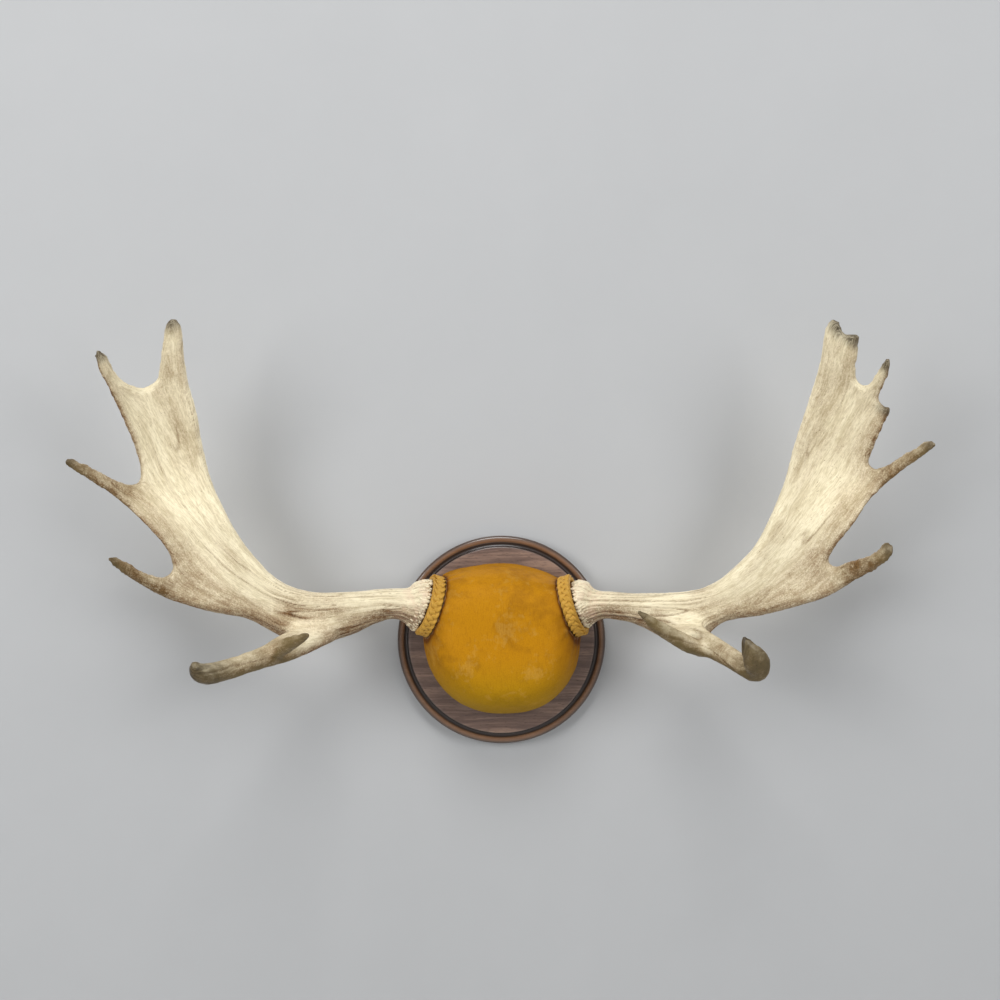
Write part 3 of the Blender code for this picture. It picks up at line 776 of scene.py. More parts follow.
def leather_mesh(look, seed=31):
    face = drawn_over(cover_face(), look)
    places = points_of(face)
    height = 0.3 * MM * cloud(places, 34 * MM, seed)
    ring_seam_shade = np.zeros(len(places))
    for side in SIDES:
        arm, along, far = from_ring(side, places)
        turn = turn_of(side, arm)
        wave = np.sin(13 * turn + 2 * np.sin(2 * turn)) + 0.7 * np.sin(23 * turn + 1.1)
        pleats = look.pleat_height * wave * bell(along, -9 * MM, 15 * MM)
        height += np.where(far < 80 * MM, pleats - 0.5 * MM * bell(along, -7 * MM, 3 * MM), 0)
        # Painted shade in the gap along the edge of each braid, darkest under the braid and fading
        # over the hide beside it.
        seam_shade = bell(along, -7.5 * MM, 2.2 * MM) + 0.2 * bell(along, -9 * MM, 9 * MM)
        ring_seam_shade += np.where(far < 60 * MM, seam_shade + step(-8 * MM, -6 * MM, along), 0)
    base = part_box("leather_cover")[1].y
    hem = np.clip(1 - (base - places[:, 1]) / (3.2 * MM), 0, 1)
    push_out(face, normals_of(face), height - 1.3 * MM * hem ** 2)
    # Painted shade along the bottom of the dome, where the hide meets the plaque.
    store(face, "hem", bell(places[:, 1], base, 9 * MM))
    store(face, "ring_seam_shade", np.clip(ring_seam_shade, 0, 1))
    return finished(face, "SOLIDIFY", thickness=look.thickness, offset=-1)


# Braided rings

def swept(path, wide, thick, across, through):
    """The points of a tube along a path, from its outline's offsets in two directions."""
    return (
        path[:, None] + wide[:, None] * across[None, :, None]
        + thick[:, None] * through[None, :, None]
    )


def unit(vectors):
    return vectors / np.linalg.norm(vectors, axis=1)[:, None]


def lace(angles, phase, look, side, sides=14):
    """One lace of the plait as a closed rounded strip, and how near each point is to its edge."""
    centre, axis, across, up = pedicle_arrays(side)
    swing = look.turns * angles + phase
    aside = 3.8 * MM * np.sin(swing)
    radius = PLAIT_RADIUS + 1.2 * MM * np.sin(2 * swing) - (aside / (7 * MM)) ** 2 * 1.6 * MM
    radial = np.outer(np.cos(angles), across) + np.outer(np.sin(angles), up)
    path = centre + radial * radius[:, None] + np.outer(aside, axis)
    along = unit(np.roll(path, -1, 0) - np.roll(path, 1, 0))
    lean = unit(axis - along * (along @ axis)[:, None])
    lift = np.cross(lean, along)
    lift *= np.sign((lift * radial).sum(1))[:, None]
    tilt = 0.22 * np.sin(swing)[:, None]
    wide = lean * np.cos(tilt) + lift * np.sin(tilt)
    thick = lift * np.cos(tilt) - lean * np.sin(tilt)
    loop = 2 * math.pi * np.arange(sides) / sides
    points = swept(
        path, wide, thick, squared(np.cos(loop), 0.62) * look.lace_width / 2,
        squared(np.sin(loop), 0.8) * look.lace_thickness / 2)
    return points, np.tile(np.abs(np.cos(loop)) ** 3, len(angles))


def plait_core(angles, side, sides=20):
    """The band under the laces, so that no gap shows between them."""
    centre, axis, across, up = pedicle_arrays(side)
    loop = 2 * math.pi * np.arange(sides) / sides
    radial = np.outer(np.cos(angles), across) + np.outer(np.sin(angles), up)
    return swept(
        centre + radial * (PLAIT_RADIUS - 3.5 * MM), radial, np.tile(axis, (len(angles), 1)),
        3.2 * MM * squared(np.sin(loop), 0.5), 7.3 * MM * squared(np.cos(loop), 0.5))


def closed_strips(strips, name):
    """A mesh of tubes that close on themselves, each an array (station, side, xyz)."""
    verts, faces, first = [], [], 0
    for strip in strips:
        count, sides, _ = strip.shape
        verts.append(strip.reshape(-1, 3))
        station, side = np.meshgrid(np.arange(count), np.arange(sides), indexing="ij")
        ahead, beside = (station + 1) % count, (side + 1) % sides
        faces.append(first + np.stack([
            station * sides + side, station * sides + beside,
            ahead * sides + beside, ahead * sides + side,
        ], 2).reshape(-1, 4))
        first += count * sides
    mesh = bpy.data.meshes.new(name)
    mesh.from_pydata(np.concatenate(verts).tolist(), [], np.concatenate(faces).tolist())
    bm = bmesh.new()
    bm.from_mesh(mesh)
    faced_out(bm).to_mesh(mesh)
    bm.free()
    return mesh


def braid_mesh(side, look, seed, laces=3):
    angles = np.linspace(0, 2 * math.pi, 360, endpoint=False)
    start = np.random.default_rng(seed).uniform(0, 2 * math.pi)
    strips, edges = zip(*(
        lace(angles, start + k * 2 * math.pi / laces, look, side) for k in range(laces)))
    core = plait_core(angles[::4], side)
    mesh = closed_strips((*strips, core), f"{side}_braid_plait")
    push_out(mesh, normals_of(mesh), 0.12 * MM * cloud(points_of(mesh), 5 * MM, seed + 1))
    # Laces darken towards their cut edges, real colour and painted shade where they tuck under; the
    # band under them is painted shade in the gaps.
    store(mesh, "cut_edge_and_gap_shade", np.concatenate([*edges, np.full(core[..., 0].size, 0.8)]))
    return mesh


# Plaque

def plaque_profile():
    """Turned profile in mm as (radius, height off the wall), from the front's middle to the back."""
    corner = [(112.2 + 1.8 * math.sin(t), 20.2 + 1.8 * math.cos(t))
              for t in np.linspace(0, math.pi / 2, 5)]
    cove = [(116.4 - 2.0 * math.cos(t), 17.6 - 1.7 * math.sin(t))
            for t in np.linspace(0.1, math.pi * 0.62, 6)]
    bead = [(122.6 - 4.4 * math.cos(t), 14.4 + 4.0 * math.sin(t))
            for t in np.linspace(0.62, math.pi - 0.1, 12)]
    return [
        (0, 22), (40, 22), (80, 22), (108, 22), *corner, (114.15, 19.0), *cove, *bead,
        (127, 13.2), (127, 8), (127, 2.6), (126.5, 1), (125.4, 0.2), (124.8, 0), (80, 0), (0, 0),
    ]


def turned(profile, steps, name):
    bm = bmesh.new()
    rows = []
    for radius, height in profile:
        if radius == 0:
            rows.append([bm.verts.new((0, -height * MM, 0))] * steps)
            continue
        rows.append([
            bm.verts.new((radius * MM * math.cos(t), -height * MM, radius * MM * math.sin(t)))
            for t in np.linspace(0, 2 * math.pi, steps, endpoint=False)
        ])
    for upper, lower in zip(rows, rows[1:]):
        for k in range(steps):
            n = (k + 1) % steps
            ring = [upper[k], upper[n], lower[n], lower[k]]
            bm.faces.new(list(dict.fromkeys(ring)))
    return mesh_of(faced_out(bm), name)


def cutter(name, low, high, radius=None):
    """A box, or a cylinder along Y with that radius, that cuts the plaque's back."""
    bm = bmesh.new()
    place, size = Matrix.Translation((low + high) / 2), high - low
    if radius is None:
        bmesh.ops.create_cube(bm, size=1, matrix=place @ Matrix.Diagonal((*size, 1)))
    else:
        bmesh.ops.create_cone(
            bm, cap_ends=True, segments=32, radius1=radius, radius2=radius,
            depth=size.y, matrix=place @ Matrix.Rotation(math.pi / 2, 4, "X"))
    item = bpy.data.objects.new(name, mesh_of(bm, name))
    bpy.context.scene.collection.objects.link(item)
    return item


def plaque_mesh(look, slack=0.3 * MM):
    """The turned plaque, cut from behind for the hanger, its nails and the mounting screws."""
    behind = 6 * MM

    def bore(name, middle, radius, front):
        low = Vector((middle.x - radius, front, middle.z - radius))
        high = Vector((middle.x + radius, behind, middle.z + radius))
        return cutter(name, low, high, radius)

    low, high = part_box("hanger_plate")
    tools = [cutter("pocket", Vector((low.x - 4 * MM, -3.8 * MM, low.z - 3 * MM)),
                    Vector((high.x + 4 * MM, behind, high.z + 3 * MM)))]
    for side in SIDES:
        low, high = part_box(f"{side}_mounting_screw")
        middle = (low + high) / 2
        tools.append(bore("recess", middle, (high.x - low.x) / 2 + slack, -5 * MM))
        tools.append(bore("shaft", middle, 2.8 * MM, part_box("plaque")[0].y - 2 * MM))
        low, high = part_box(f"{side}_hanger_nail")
        tools.append(bore("nail", (low + high) / 2, 1.5 * MM, low.y - slack))
    mesh = turned(plaque_profile(), look.turning_steps, "plaque_turning")
    for tool in tools:
        mesh = finished(mesh, "BOOLEAN", operation="DIFFERENCE", solver="EXACT", object=tool)
        bpy.data.objects.remove(tool)
    return mesh


# Materials

class Mixer:
    """Adds nodes to one tree."""

    def __init__(self, tree):
        self.tree = tree

    def feed(self, socket, value):
        if isinstance(value, bpy.types.Node):
            value = value.outputs[0]
        if isinstance(value, bpy.types.NodeSocket):
            self.tree.links.new(value, socket)
        else:
            socket.default_value = value

    def add(self, kind, inputs, **settings):
        node = self.tree.nodes.new(kind)
        for name, value in settings.items():
            setattr(node, name, value)
        for key, value in inputs.items():
            self.feed(node.inputs[key], value)
        return node

    def math(self, operation, *values, clamp=False):
        return self.add(
            "ShaderNodeMath", dict(enumerate(values)), operation=operation, use_clamp=clamp)

    def times(self, value, factor):
        return self.math("MULTIPLY", value, factor)

    def plus(self, total, *parts):
        """The total and each (value, factor) after it, multiplied and added in turn."""
        for value, factor in parts:
            total = self.math("MULTIPLY_ADD", value, factor, total)
        return total

    def vector(self, operation, *values):
        return self.add("ShaderNodeVectorMath", dict(enumerate(values)), operation=operation)

    def scaled(self, vector, amount):
        return self.add("ShaderNodeVectorMath", {0: vector, "Scale": amount}, operation="SCALE")

    def blend(self, amount, under, over, kind="MIX"):
        return self.add("ShaderNodeMix", {0: amount, 6: under, 7: over}, data_type="RGBA",
                        blend_type=kind).outputs[2]

    def between(self, value, low, high, to_low=0.0, to_high=1.0):
        return self.add(
            "ShaderNodeMapRange", {0: value, 1: low, 2: high, 3: to_low, 4: to_high},
            interpolation_type="SMOOTHSTEP")

    def vary(self, mask, by, *limits):
        """A mask made stronger and weaker by another pattern."""
        return self.math("MULTIPLY", mask, self.between(by, *limits), clamp=True)

    def noise(self, vector, scale, detail=2.0, roughness=0.5, distortion=0.0):
        return self.add("ShaderNodeTexNoise", {
            "Vector": vector, "Scale": scale, "Detail": detail, "Roughness": roughness,
            "Distortion": distortion})


def mottle(mix, vector, size, contrast):
    """Soft patches of two sizes, from 0 to 1."""
    scale = mix.math("DIVIDE", 1.0, size)
    coarse = mix.noise(vector, scale, 3, 0.6, 0.4)
    fine = mix.noise(vector, mix.times(scale, 5.3), 3, 0.6)
    both = mix.plus(mix.times(coarse, 0.65), (fine, 0.35))
    sharpened = mix.times(mix.math("SUBTRACT", both, 0.5), mix.times(contrast, 3.0))
    return {"Patches": mix.math("ADD", sharpened, 0.5, clamp=True)}


def fibres(mix, vector, lane, size, reach):
    """Fine fibres, from 0 to 1. Lane is constant along each fibre, so only Vector varies there."""
    wide, long = (mix.math("DIVIDE", 1.0, measure) for measure in (size, reach))
    place = mix.vector("ADD", mix.scaled(lane, wide), mix.scaled(vector, long))
    return {"Fibres": mix.between(mix.noise(place, 1.0, 2.0, 0.6), 0.34, 0.66)}


def hide(mix, vector, pebble_size):
    """The nap and pebble of leather: a height and a mask of its hollows."""
    scale = mix.math("DIVIDE", 1.0, pebble_size)
    cells = mix.add(
        "ShaderNodeTexVoronoi", {"Vector": vector, "Scale": scale, "Randomness": 0.9},
        feature="SMOOTH_F1")
    nap = mix.noise(vector, mix.times(scale, 2.6), 3, 0.65)
    pebble = mix.between(cells.outputs["Distance"], 0.05, 0.75, 1.0, 0.0)
    return {
        "Height": mix.plus(mix.times(pebble, 0.55), (nap, 0.45)),
        "Hollows": mix.between(pebble, 0.0, 0.5, 1.0, 0.0),
    }


# Each shared effect's inputs, with None for a vector and the default for a number
EFFECTS = {
    mottle: {"Vector": None, "Size": 0.03, "Contrast": 1.0},
    fibres: {"Vector": None, "Lane": None, "Size": 0.001, "Reach": 0.006},
    hide: {"Vector": None, "Pebble": 0.0012},
}


def shared(effect):
    """The shader group of an effect, made on its first use."""
    name = effect.__name__.title()
    if name in bpy.data.node_groups:
        return bpy.data.node_groups[name]
    tree = bpy.data.node_groups.new(name, "ShaderNodeTree")
    for label, default in EFFECTS[effect].items():
        kind = "NodeSocketVector" if default is None else "NodeSocketFloat"
        socket = tree.interface.new_socket(label, in_out="INPUT", socket_type=kind)
        if default is not None:
            socket.default_value = default
    mix = Mixer(tree)
    given = mix.add("NodeGroupInput", {}).outputs
    made = effect(mix, *(given[label] for label in EFFECTS[effect]))
    for label in made:
        tree.interface.new_socket(label, in_out="OUTPUT", socket_type="NodeSocketFloat")
    mix.add("NodeGroupOutput", made)
    return tree


class Finish(Mixer):
    """A new material, coloured in layers from its base tone up."""

    def __init__(self, name):
        self.material = bpy.data.materials.new(name)
        self.material.use_nodes = True
        super().__init__(self.material.node_tree)
        self.tree.nodes.clear()
        self.shader = self.add("ShaderNodeBsdfPrincipled", {})
        self.output = self.add("ShaderNodeOutputMaterial", {"Surface": self.shader})
        self.place = self.add("ShaderNodeTexCoord", {}).outputs["Object"]

    def read(self, name, output="Fac"):
        return self.add("ShaderNodeAttribute", {}, attribute_name=name).outputs[output]

    def use(self, effect, *values):
        """What a shared effect gives here, with these values after the place."""
        inputs = dict(enumerate((self.place, *values)))
        return self.add("ShaderNodeGroup", inputs, node_tree=shared(effect)).outputs

    def patches(self, size, contrast):
        return self.use(mottle, size, contrast)[0]

    def base(self, amount, under, over):
        self.tone = self.blend(amount, under, over)

    def layer(self, amount, tone):
        self.tone = self.blend(amount, self.tone, tone)

    def darken(self, amount, red, green, blue):
        self.tone = self.blend(amount, self.tone, (red, green, blue, 1), "MULTIPLY")

    def done(self, roughness, relief=None, strength=0.0, depth=0.0, **plain):
        """Joins colour, gloss and relief to the shader, with plain values on its own sockets."""
        self.feed(self.shader.inputs["Base Color"], self.tone)
        self.feed(self.shader.inputs["Roughness"], roughness)
        for name, value in plain.items():
            self.shader.inputs[name.replace("_", " ")].default_value = value
        if relief is not None:
            bump = self.add("ShaderNodeBump", {
                "Strength": strength, "Distance": depth, "Height": relief})
            self.feed(self.shader.inputs["Normal"], bump)
        return self.material


def antler_finish(look):
    mix = Finish("antler_bone")
    lane = mix.read("lane", "Vector")
    vessel, stain_and_shade, old_and_shaded, tip, worn, hollow_shade, palm, burr = (mix.read(name) for name in (
        "vessel", "stain_and_shade", "old_and_shaded", "tip", "worn", "hollow_shade", "palm", "burr"))
    patches, blotches = mix.patches(0.04, 1.1), mix.patches(0.011, 1.3)
    bands, threads, hairs = (
        mix.use(fibres, lane, size, reach)[0]
        for size, reach in ((0.005, 0.06), (0.0011, 0.012), (0.0005, 0.005)))

    pale = mix.plus(
        mix.times(hairs, 0.28), (threads, 0.34), (bands, 0.2), (patches, -0.25), (palm, -0.1))
    mix.base(mix.between(pale, -0.2, 0.55), look.bone_grey, look.bone_light)
    # Brown stain, with painted shade on the undersides and the sides facing the wall.
    stained_and_shaded = mix.vary(stain_and_shade, blotches, 0.0, 0.9, 0.5, 1.15)
    mix.layer(mix.vary(stained_and_shaded, threads, 0.0, 1.0, 1.05, 0.8), look.brown_stain_and_shade)
    # Dark grit specks where the stain and the painted shade lie.
    grit_and_shade = mix.vary(stain_and_shade, mix.noise(mix.place, 620.0, 3, 0.6), 0.44, 0.6, 0.75, 0.0)
    mix.darken(grit_and_shade, 0.3, 0.19, 0.09)
    # Weathered grey, with painted shade on the undersides.
    aged_and_shaded = mix.vary(old_and_shaded, blotches, 0.1, 0.9, 0.8, 1.0)
    mix.layer(mix.vary(aged_and_shaded, threads, 0.0, 1.0, 1.02, 0.84), look.weathered_grey_and_shade)
    mix.layer(mix.vary(tip, threads, 0.0, 1.0, 1.0, 0.65), look.tip_dark)
    lines = mix.times(mix.between(bands, 0.0, 0.35, 1.0, 0.0), 0.16)
    lines = mix.plus(lines, (mix.between(hairs, 0.0, 0.4, 1.0, 0.0), 0.12))
    mix.darken(lines, 0.42, 0.32, 0.2)
    # Painted shade in concave hollows and between the burr's pearls, and dirt in the vessel grooves.
    dirt_and_hollow_shade = mix.math(
        "MAXIMUM", mix.vary(hollow_shade, burr, 0.0, 1.0, 0.6, 0.45), mix.times(vessel, 0.42))
    mix.darken(mix.vary(dirt_and_hollow_shade, hairs, 0.1, 0.9, 1.0, 0.6), 0.24, 0.15, 0.075)
    specks = mix.add("ShaderNodeTexVoronoi", {
        "Vector": mix.vector("ADD", mix.place, mix.scaled(lane, 1.5)), "Scale": 330.0,
        "Randomness": 1.0}).outputs["Distance"]
    pore_size = mix.between(mix.noise(mix.place, 160.0, 2, 0.6), 0.45, 0.7, 0.0, 0.3)
    pores = mix.times(mix.math("LESS_THAN", specks, pore_size), look.pores)
    pores = mix.vary(pores, blotches, 0.2, 0.8, 0.2, 1.0)
    mix.darken(pores, 0.3, 0.21, 0.12)
    mix.layer(mix.vary(worn, blotches, 0.2, 0.8, 0.4, 0.8), look.worn_pale)
    mix.layer(mix.vary(burr, blotches, 0.3, 0.9, 0.0, 0.35), look.burr_pink)

    gloss = mix.between(mix.math("MAXIMUM", tip, worn), 0.0, 1.0, 0.6, 0.42)
    relief = mix.plus(mix.times(hairs, 0.3), (threads, 0.6), (pores, -0.5), (grit_and_shade, -0.9))
    return mix.done(
        mix.plus(gloss, (threads, -0.08)), relief, 0.5, 0.4 * MM, Specular_IOR_Level=0.35)


def leather_finish(look):
    mix = Finish("tan_nubuck")
    patches, rubbed = mix.patches(0.06, 1.0), mix.patches(0.03, 1.3)
    upright = mix.vector("MULTIPLY", mix.place, (1.0, 1.0, 0.12))
    brushed = mix.use(fibres, upright, 0.0016, 0.03)[0]
    grain = mix.use(hide, 0.0011)
    mix.base(mix.between(patches, 0.3, 0.95), look.tan, look.shaded)
    x, _, z = mix.add("ShaderNodeSeparateXYZ", {0: mix.place}).outputs
    # Painted shade: the hide turns duller and darker towards the bottom of the dome.
    mix.layer(mix.between(z, -0.075, 0.0, 0.6, 0.0), look.olive_low_shade)
    # Painted shade: both sides of the dome are darkened, the right more than the left.
    mix.darken(mix.math("MAXIMUM", mix.between(x, 0.045, 0.1, 0.0, 0.42),
                        mix.between(x, -0.1, -0.05, 0.3, 0.0)), 0.5, 0.42, 0.3)
    scuffs = mix.vary(mix.between(rubbed, 0.6, 1.0), brushed, 0.0, 1.0, 0.3, 0.38)
    mix.layer(scuffs, look.scuffed)
    mix.darken(mix.times(mix.between(brushed, 0.0, 0.45, 1.0, 0.0), 0.14), 0.55, 0.4, 0.2)
    mix.darken(mix.times(grain["Hollows"], 0.16), 0.5, 0.36, 0.16)
    # Painted shade along the bottom rim and in the gap at each braid.
    edge = mix.math(
        "MAXIMUM", mix.times(mix.read("hem"), 0.6), mix.times(mix.read("ring_seam_shade"), 0.85))
    mix.darken(edge, 0.22, 0.1, 0.03)
    return mix.done(
        mix.between(rubbed, 0.3, 1.0, 0.6, 0.75), mix.plus(grain["Height"], (brushed, 0.35)),
        0.3, 0.3 * MM, Specular_IOR_Level=0.13)


def braid_finish(look):
    mix = Finish("plaited_lace")
    patches, grain = mix.patches(0.014, 1.2), mix.use(hide, 0.0008)
    mix.base(mix.times(patches, 0.5), look.lace, look.lace_worn)
    # Darker cut edges, with painted shade where laces tuck under and in the gaps between them.
    edge_and_gap_shade = mix.between(mix.read("cut_edge_and_gap_shade"), 0.72, 1.0)
    mix.layer(mix.vary(edge_and_gap_shade, patches, 0.1, 0.9, 0.6, 0.9), look.lace_edge_and_shade)
    mix.darken(mix.times(grain["Hollows"], 0.3), 0.5, 0.36, 0.18)
    return mix.done(
        mix.between(patches, 0.2, 0.9, 0.46, 0.62), grain["Height"], 0.4, 0.2 * MM,
        Specular_IOR_Level=0.25)


def walnut_finish(look):
    mix = Finish("walnut")
    warp = mix.noise(mix.place, 9.0, 2, 0.5).outputs["Color"]
    bent = mix.vector("ADD", mix.place, mix.scaled(
        mix.vector("SUBTRACT", warp, (0.5, 0.5, 0.5)), 0.012))

    def grain(stretch, scale, detail, roughness):
        run = mix.vector("MULTIPLY", bent, (stretch, 1.0, 1.0))
        return mix.noise(run, scale, detail, roughness).outputs[0]

    bands, lines = grain(0.05, 75.0, 3, 0.62), grain(0.025, 420.0, 3, 0.65)
    figure = mix.plus(mix.times(bands, 0.62), (lines, 0.45))
    mix.base(mix.between(figure, 0.42, 0.66), look.dark, look.heart)
    mix.layer(mix.times(mix.between(figure, 0.55, 0.78), 0.75), look.pale)
    mix.layer(mix.times(mix.patches(0.06, 0.9), 0.35), look.cloudy)
    pores = mix.times(mix.between(grain(0.09, 1500.0, 1, 0.5), 0.6, 0.72), 0.55)
    mix.darken(pores, 0.12, 0.07, 0.05)
    x, y, z = mix.add("ShaderNodeSeparateXYZ", {0: mix.place}).outputs
    flat = mix.add("ShaderNodeCombineXYZ", {0: x, 2: z})
    radius = mix.vector("LENGTH", flat).outputs["Value"]
    mix.layer(mix.times(mix.between(radius, 0.117, 0.119), 0.72), look.bead)
    # Dark stain in the groove, running onto the panel's rounded corner as painted shade over its
    # highlight.
    groove_stain_and_shade = mix.times(
        mix.between(radius, 0.1122, 0.1138), mix.between(radius, 0.1184, 0.12, 1.0, 0.0))
    groove_stain_and_shade = mix.times(groove_stain_and_shade, mix.between(y, -0.0155, -0.012, 1.0, 0.0))
    # Painted shade on the outer edge of the rim.
    rim = mix.times(mix.between(radius, 0.1222, 0.1256), 0.74)
    mix.layer(mix.math("MAXIMUM", mix.times(groove_stain_and_shade, 0.94), rim), look.groove)
    return mix.done(
        mix.between(figure, 0.4, 0.7, 0.42, 0.32), mix.plus(lines, (pores, -0.7)),
        0.15, 0.2 * MM, Coat_Weight=0.85, Coat_Roughness=0.14)


def steel_finish(look):
    mix = Finish("zinc_steel")
    lane = mix.vector("MULTIPLY", mix.place, (0.08, 1.0, 1.0))
    scratch = mix.use(fibres, lane, 0.0004, 0.05)[0]
    mix.base(mix.patches(0.006, 1.3), look.steel, look.steel_dull)
    return mix.done(
        mix.between(scratch, 0.0, 1.0, 0.28, 0.5), scratch, 0.2, 0.1 * MM, Metallic=1.0)


def skull_finish(look):
    mix = Finish("skull_plate")
    patches, pits = mix.patches(0.02, 1.2), mix.noise(mix.place, 900.0, 3, 0.6)
    mix.base(patches, look.plaster, look.plaster_dark)
    mix.darken(mix.times(mix.between(pits, 0.55, 0.7), 0.5), 0.35, 0.26, 0.16)
    return mix.done(mix.between(patches, 0.0, 1.0, 0.6, 0.8), pits, 0.4, 0.4 * MM)


def stage_finish(name, tone, see_through=False):
    """Matt painted board. A wall is clear from behind, so the mount's back can be seen."""
    mix = Finish(name)
    mix.base(mix.patches(0.4, 0.5), tone, (*(0.94 * part for part in tone[:3]), 1.0))
    if see_through:
        clear = mix.add("ShaderNodeBsdfTransparent", {})
        behind = mix.add("ShaderNodeNewGeometry", {}).outputs["Backfacing"]
        chosen = mix.add("ShaderNodeMixShader", {0: behind, 1: mix.shader, 2: clear})
        mix.feed(mix.output.inputs["Surface"], chosen)
    return mix.done(0.9)


# Operators

class BuildStep:
    bl_options = {"REGISTER", "UNDO"}


class BuildAntlers(BuildStep, bpy.types.Operator):
    """Build both antlers with grooves, pearls and weathered bone"""

    bl_idname = "antler_mount.antlers"
    bl_label = "Antlers"

    def execute(self, context):
        look = context.scene.mount_antlers
        finish = antler_finish(look)
        for seed, side in zip((100, 140), SIDES):
            nodes = [f"{side}_{part}" for part in ANTLER_PARTS]
            add_piece(f"{side}_antler", antler_mesh(side, look, seed), finish, nodes)
        return {"FINISHED"}


class BuildLeatherCover(BuildStep, bpy.types.Operator):
    """Build the padded leather cover over the skull plate"""

    bl_idname = "antler_mount.leather_cover"
    bl_label = "Leather Cover"

    def execute(self, context):
        look = context.scene.mount_leather
        cover = add_piece(
            "padded_leather", leather_mesh(look), leather_finish(look),
            ["leather_cover"])
        return {"FINISHED"}


class BuildBraids(BuildStep, bpy.types.Operator):
    """Build the three-strand braided ring at each burr"""

    bl_idname = "antler_mount.braids"
    bl_label = "Braided Rings"

    def execute(self, context):
        look = context.scene.mount_braids
        finish = braid_finish(look)
        for seed, side in zip((60, 61), SIDES):
            mesh = braid_mesh(side, look, seed)
            add_piece(f"{side}_plait", mesh, finish, [f"{side}_braid"])
        return {"FINISHED"}


class BuildPlaque(BuildStep, bpy.types.Operator):
    """Turn the round walnut plaque with its groove and bead"""

    bl_idname = "antler_mount.plaque"
    bl_label = "Walnut Plaque"

    def execute(self, context):
        look = context.scene.mount_plaque
        plaque = add_piece(
            "walnut_plaque", plaque_mesh(look), walnut_finish(look), ["plaque"])
        plaque.data.set_sharp_from_angle(angle=math.radians(38))
        return {"FINISHED"}


class FinishHardware(BuildStep, bpy.types.Operator):
    """Give the skull plate, screws, nails and hanger their own finishes"""

    bl_idname = "antler_mount.hardware"
    bl_label = "Skull Plate and Hardware"

    def execute(self, context):
        look = context.scene.mount_hardware
        steel = steel_finish(look)
        names = [f"{side}_{item}" for side in SIDES for item in ("mounting_screw", "hanger_nail")]
        finishes = dict.fromkeys((*names, "hanger_plate"), steel)
        finishes["skull_form"] = skull_finish(look)
        for name, finish in finishes.items():
            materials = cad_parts[name].data.materials
            materials.clear()
            materials.append(finish)
        return {"FINISHED"}


def add_plane(name, corners, material):
    mesh = bpy.data.meshes.new(name)
    mesh.from_pydata(corners, [], [(0, 1, 2, 3)])
    mesh.materials.append(material)
    item = bpy.data.objects.new(name, mesh)
    bpy.context.scene.collection.objects.link(item)
    return item


def add_light(name, place, size, power):
    lamp = bpy.data.lights.new(name, "AREA")
    lamp.shape = "DISK"
    lamp.size = size
    lamp.energy = power
    item = bpy.data.objects.new(name, lamp)
    item.location = place
    item.rotation_euler = (LIGHT_AIM - Vector(place)).to_track_quat("-Z", "Y").to_euler()
    bpy.context.scene.collection.objects.link(item)


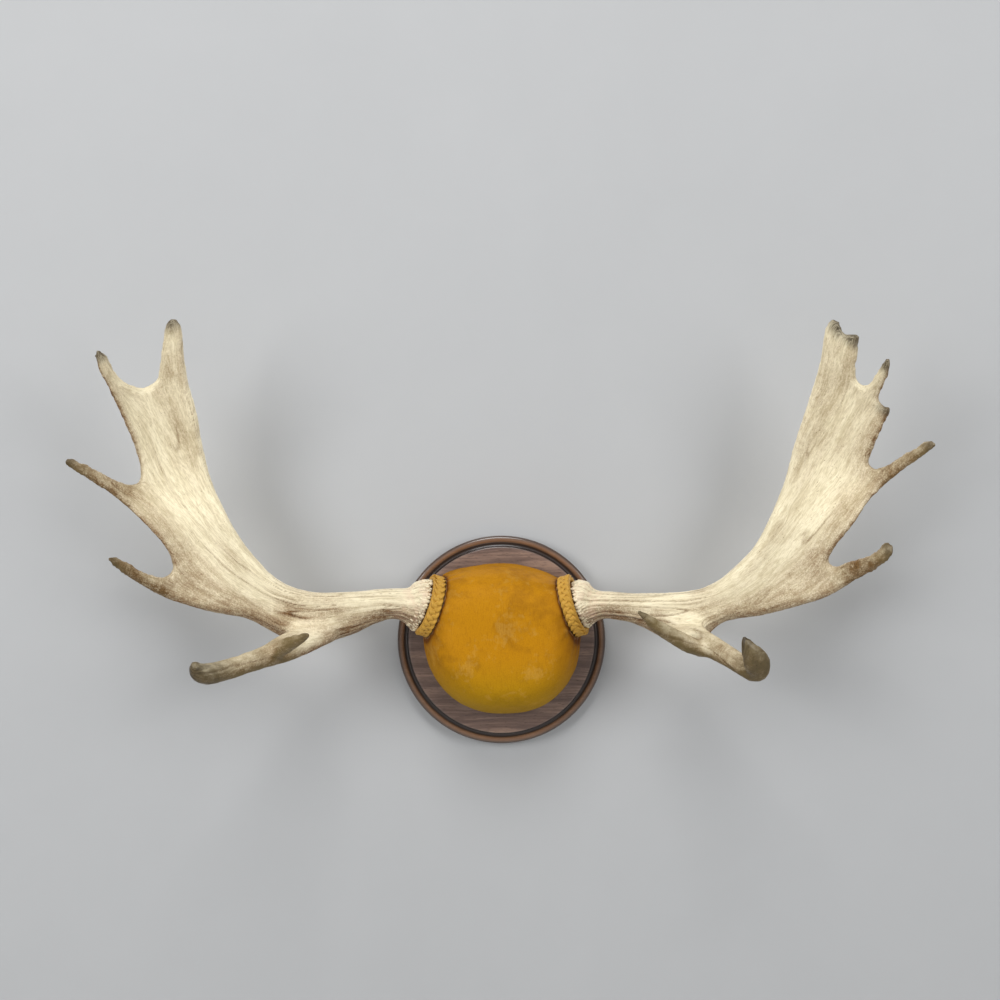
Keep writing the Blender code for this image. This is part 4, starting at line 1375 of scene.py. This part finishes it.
class BuildStage(BuildStep, bpy.types.Operator):
    """Add the wall, floor, soft lights and camera"""

    bl_idname = "antler_mount.stage"
    bl_label = "Studio"

    def execute(self, context):
        look = context.scene.mount_stage
        scene = context.scene
        behind = 0.8 * MM
        wide, tall, drop, reach = 2.2, 2.4, look.floor_drop, 4
        wall = add_plane("wall", [
            (-wide, behind, -drop), (wide, behind, -drop), (wide, behind, tall),
            (-wide, behind, tall)], stage_finish("wall_paint", look.wall, True))
        wall.visible_shadow = False
        add_plane("floor", [
            (-reach, -reach, -drop), (reach, -reach, -drop), (reach, reach, -drop),
            (-reach, reach, -drop)], stage_finish("floor_paint", look.floor))
        add_light("left_softbox", (-1.9, -2.1, 0.55), 1.4, 1.12 * look.side_power)
        add_light("right_softbox", (1.9, -2.1, 0.55), 1.4, 0.88 * look.side_power)
        add_light("top_softbox", (-0.2, -1.9, 2.5), 1.5, look.top_power)
        add_light("back_fill", (0.3, 1.7, 0.9), 1.6, look.back_power)
        world = bpy.data.worlds.new("studio_air")
        world.use_nodes = True
        air = next(n for n in world.node_tree.nodes if n.type == "BACKGROUND")
        air.inputs["Color"].default_value = (0.82, 0.84, 0.86, 1)
        air.inputs["Strength"].default_value = look.ambient
        scene.world = world
        scene.view_settings.view_transform = "Standard"
        lens = bpy.data.cameras.new("view")
        lens.lens = LENS
        lens.sensor_width = 36
        lens.clip_start = 0.01
        camera = bpy.data.objects.new("view", lens)
        camera.location = CAMERA_PLACE
        camera.rotation_euler = (math.pi / 2, 0, 0)
        scene.collection.objects.link(camera)
        scene.camera = camera
        return {"FINISHED"}


OPERATORS = (
    BuildAntlers, BuildLeatherCover, BuildBraids, BuildPlaque, FinishHardware, BuildStage,
)


class MountPanel(bpy.types.Panel):
    bl_idname = "VIEW3D_PT_antler_mount"
    bl_label = "Antler Mount"
    bl_space_type = "VIEW_3D"
    bl_region_type = "UI"
    bl_category = "Antler Mount"

    def draw(self, context):
        for operator, prop in zip(OPERATORS, LOOKS):
            box = self.layout.box()
            box.operator(operator.bl_idname)
            look = getattr(context.scene, prop)
            for name in look.__annotations__:
                box.prop(look, name)


CLASSES = (*LOOKS.values(), *OPERATORS, MountPanel)


def register():
    for one in CLASSES:
        bpy.utils.register_class(one)
    for name, look in LOOKS.items():
        setattr(bpy.types.Scene, name, PointerProperty(type=look))


def unregister():
    for name in LOOKS:
        delattr(bpy.types.Scene, name)
    for one in reversed(CLASSES):
        bpy.utils.unregister_class(one)


def main():
    register()
    bpy.ops.antler_mount.stage()
    bpy.ops.antler_mount.antlers()
    bpy.ops.antler_mount.leather_cover()
    bpy.ops.antler_mount.braids()
    bpy.ops.antler_mount.plaque()
    bpy.ops.antler_mount.hardware()
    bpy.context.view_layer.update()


if __name__ == "__main__":
    main()
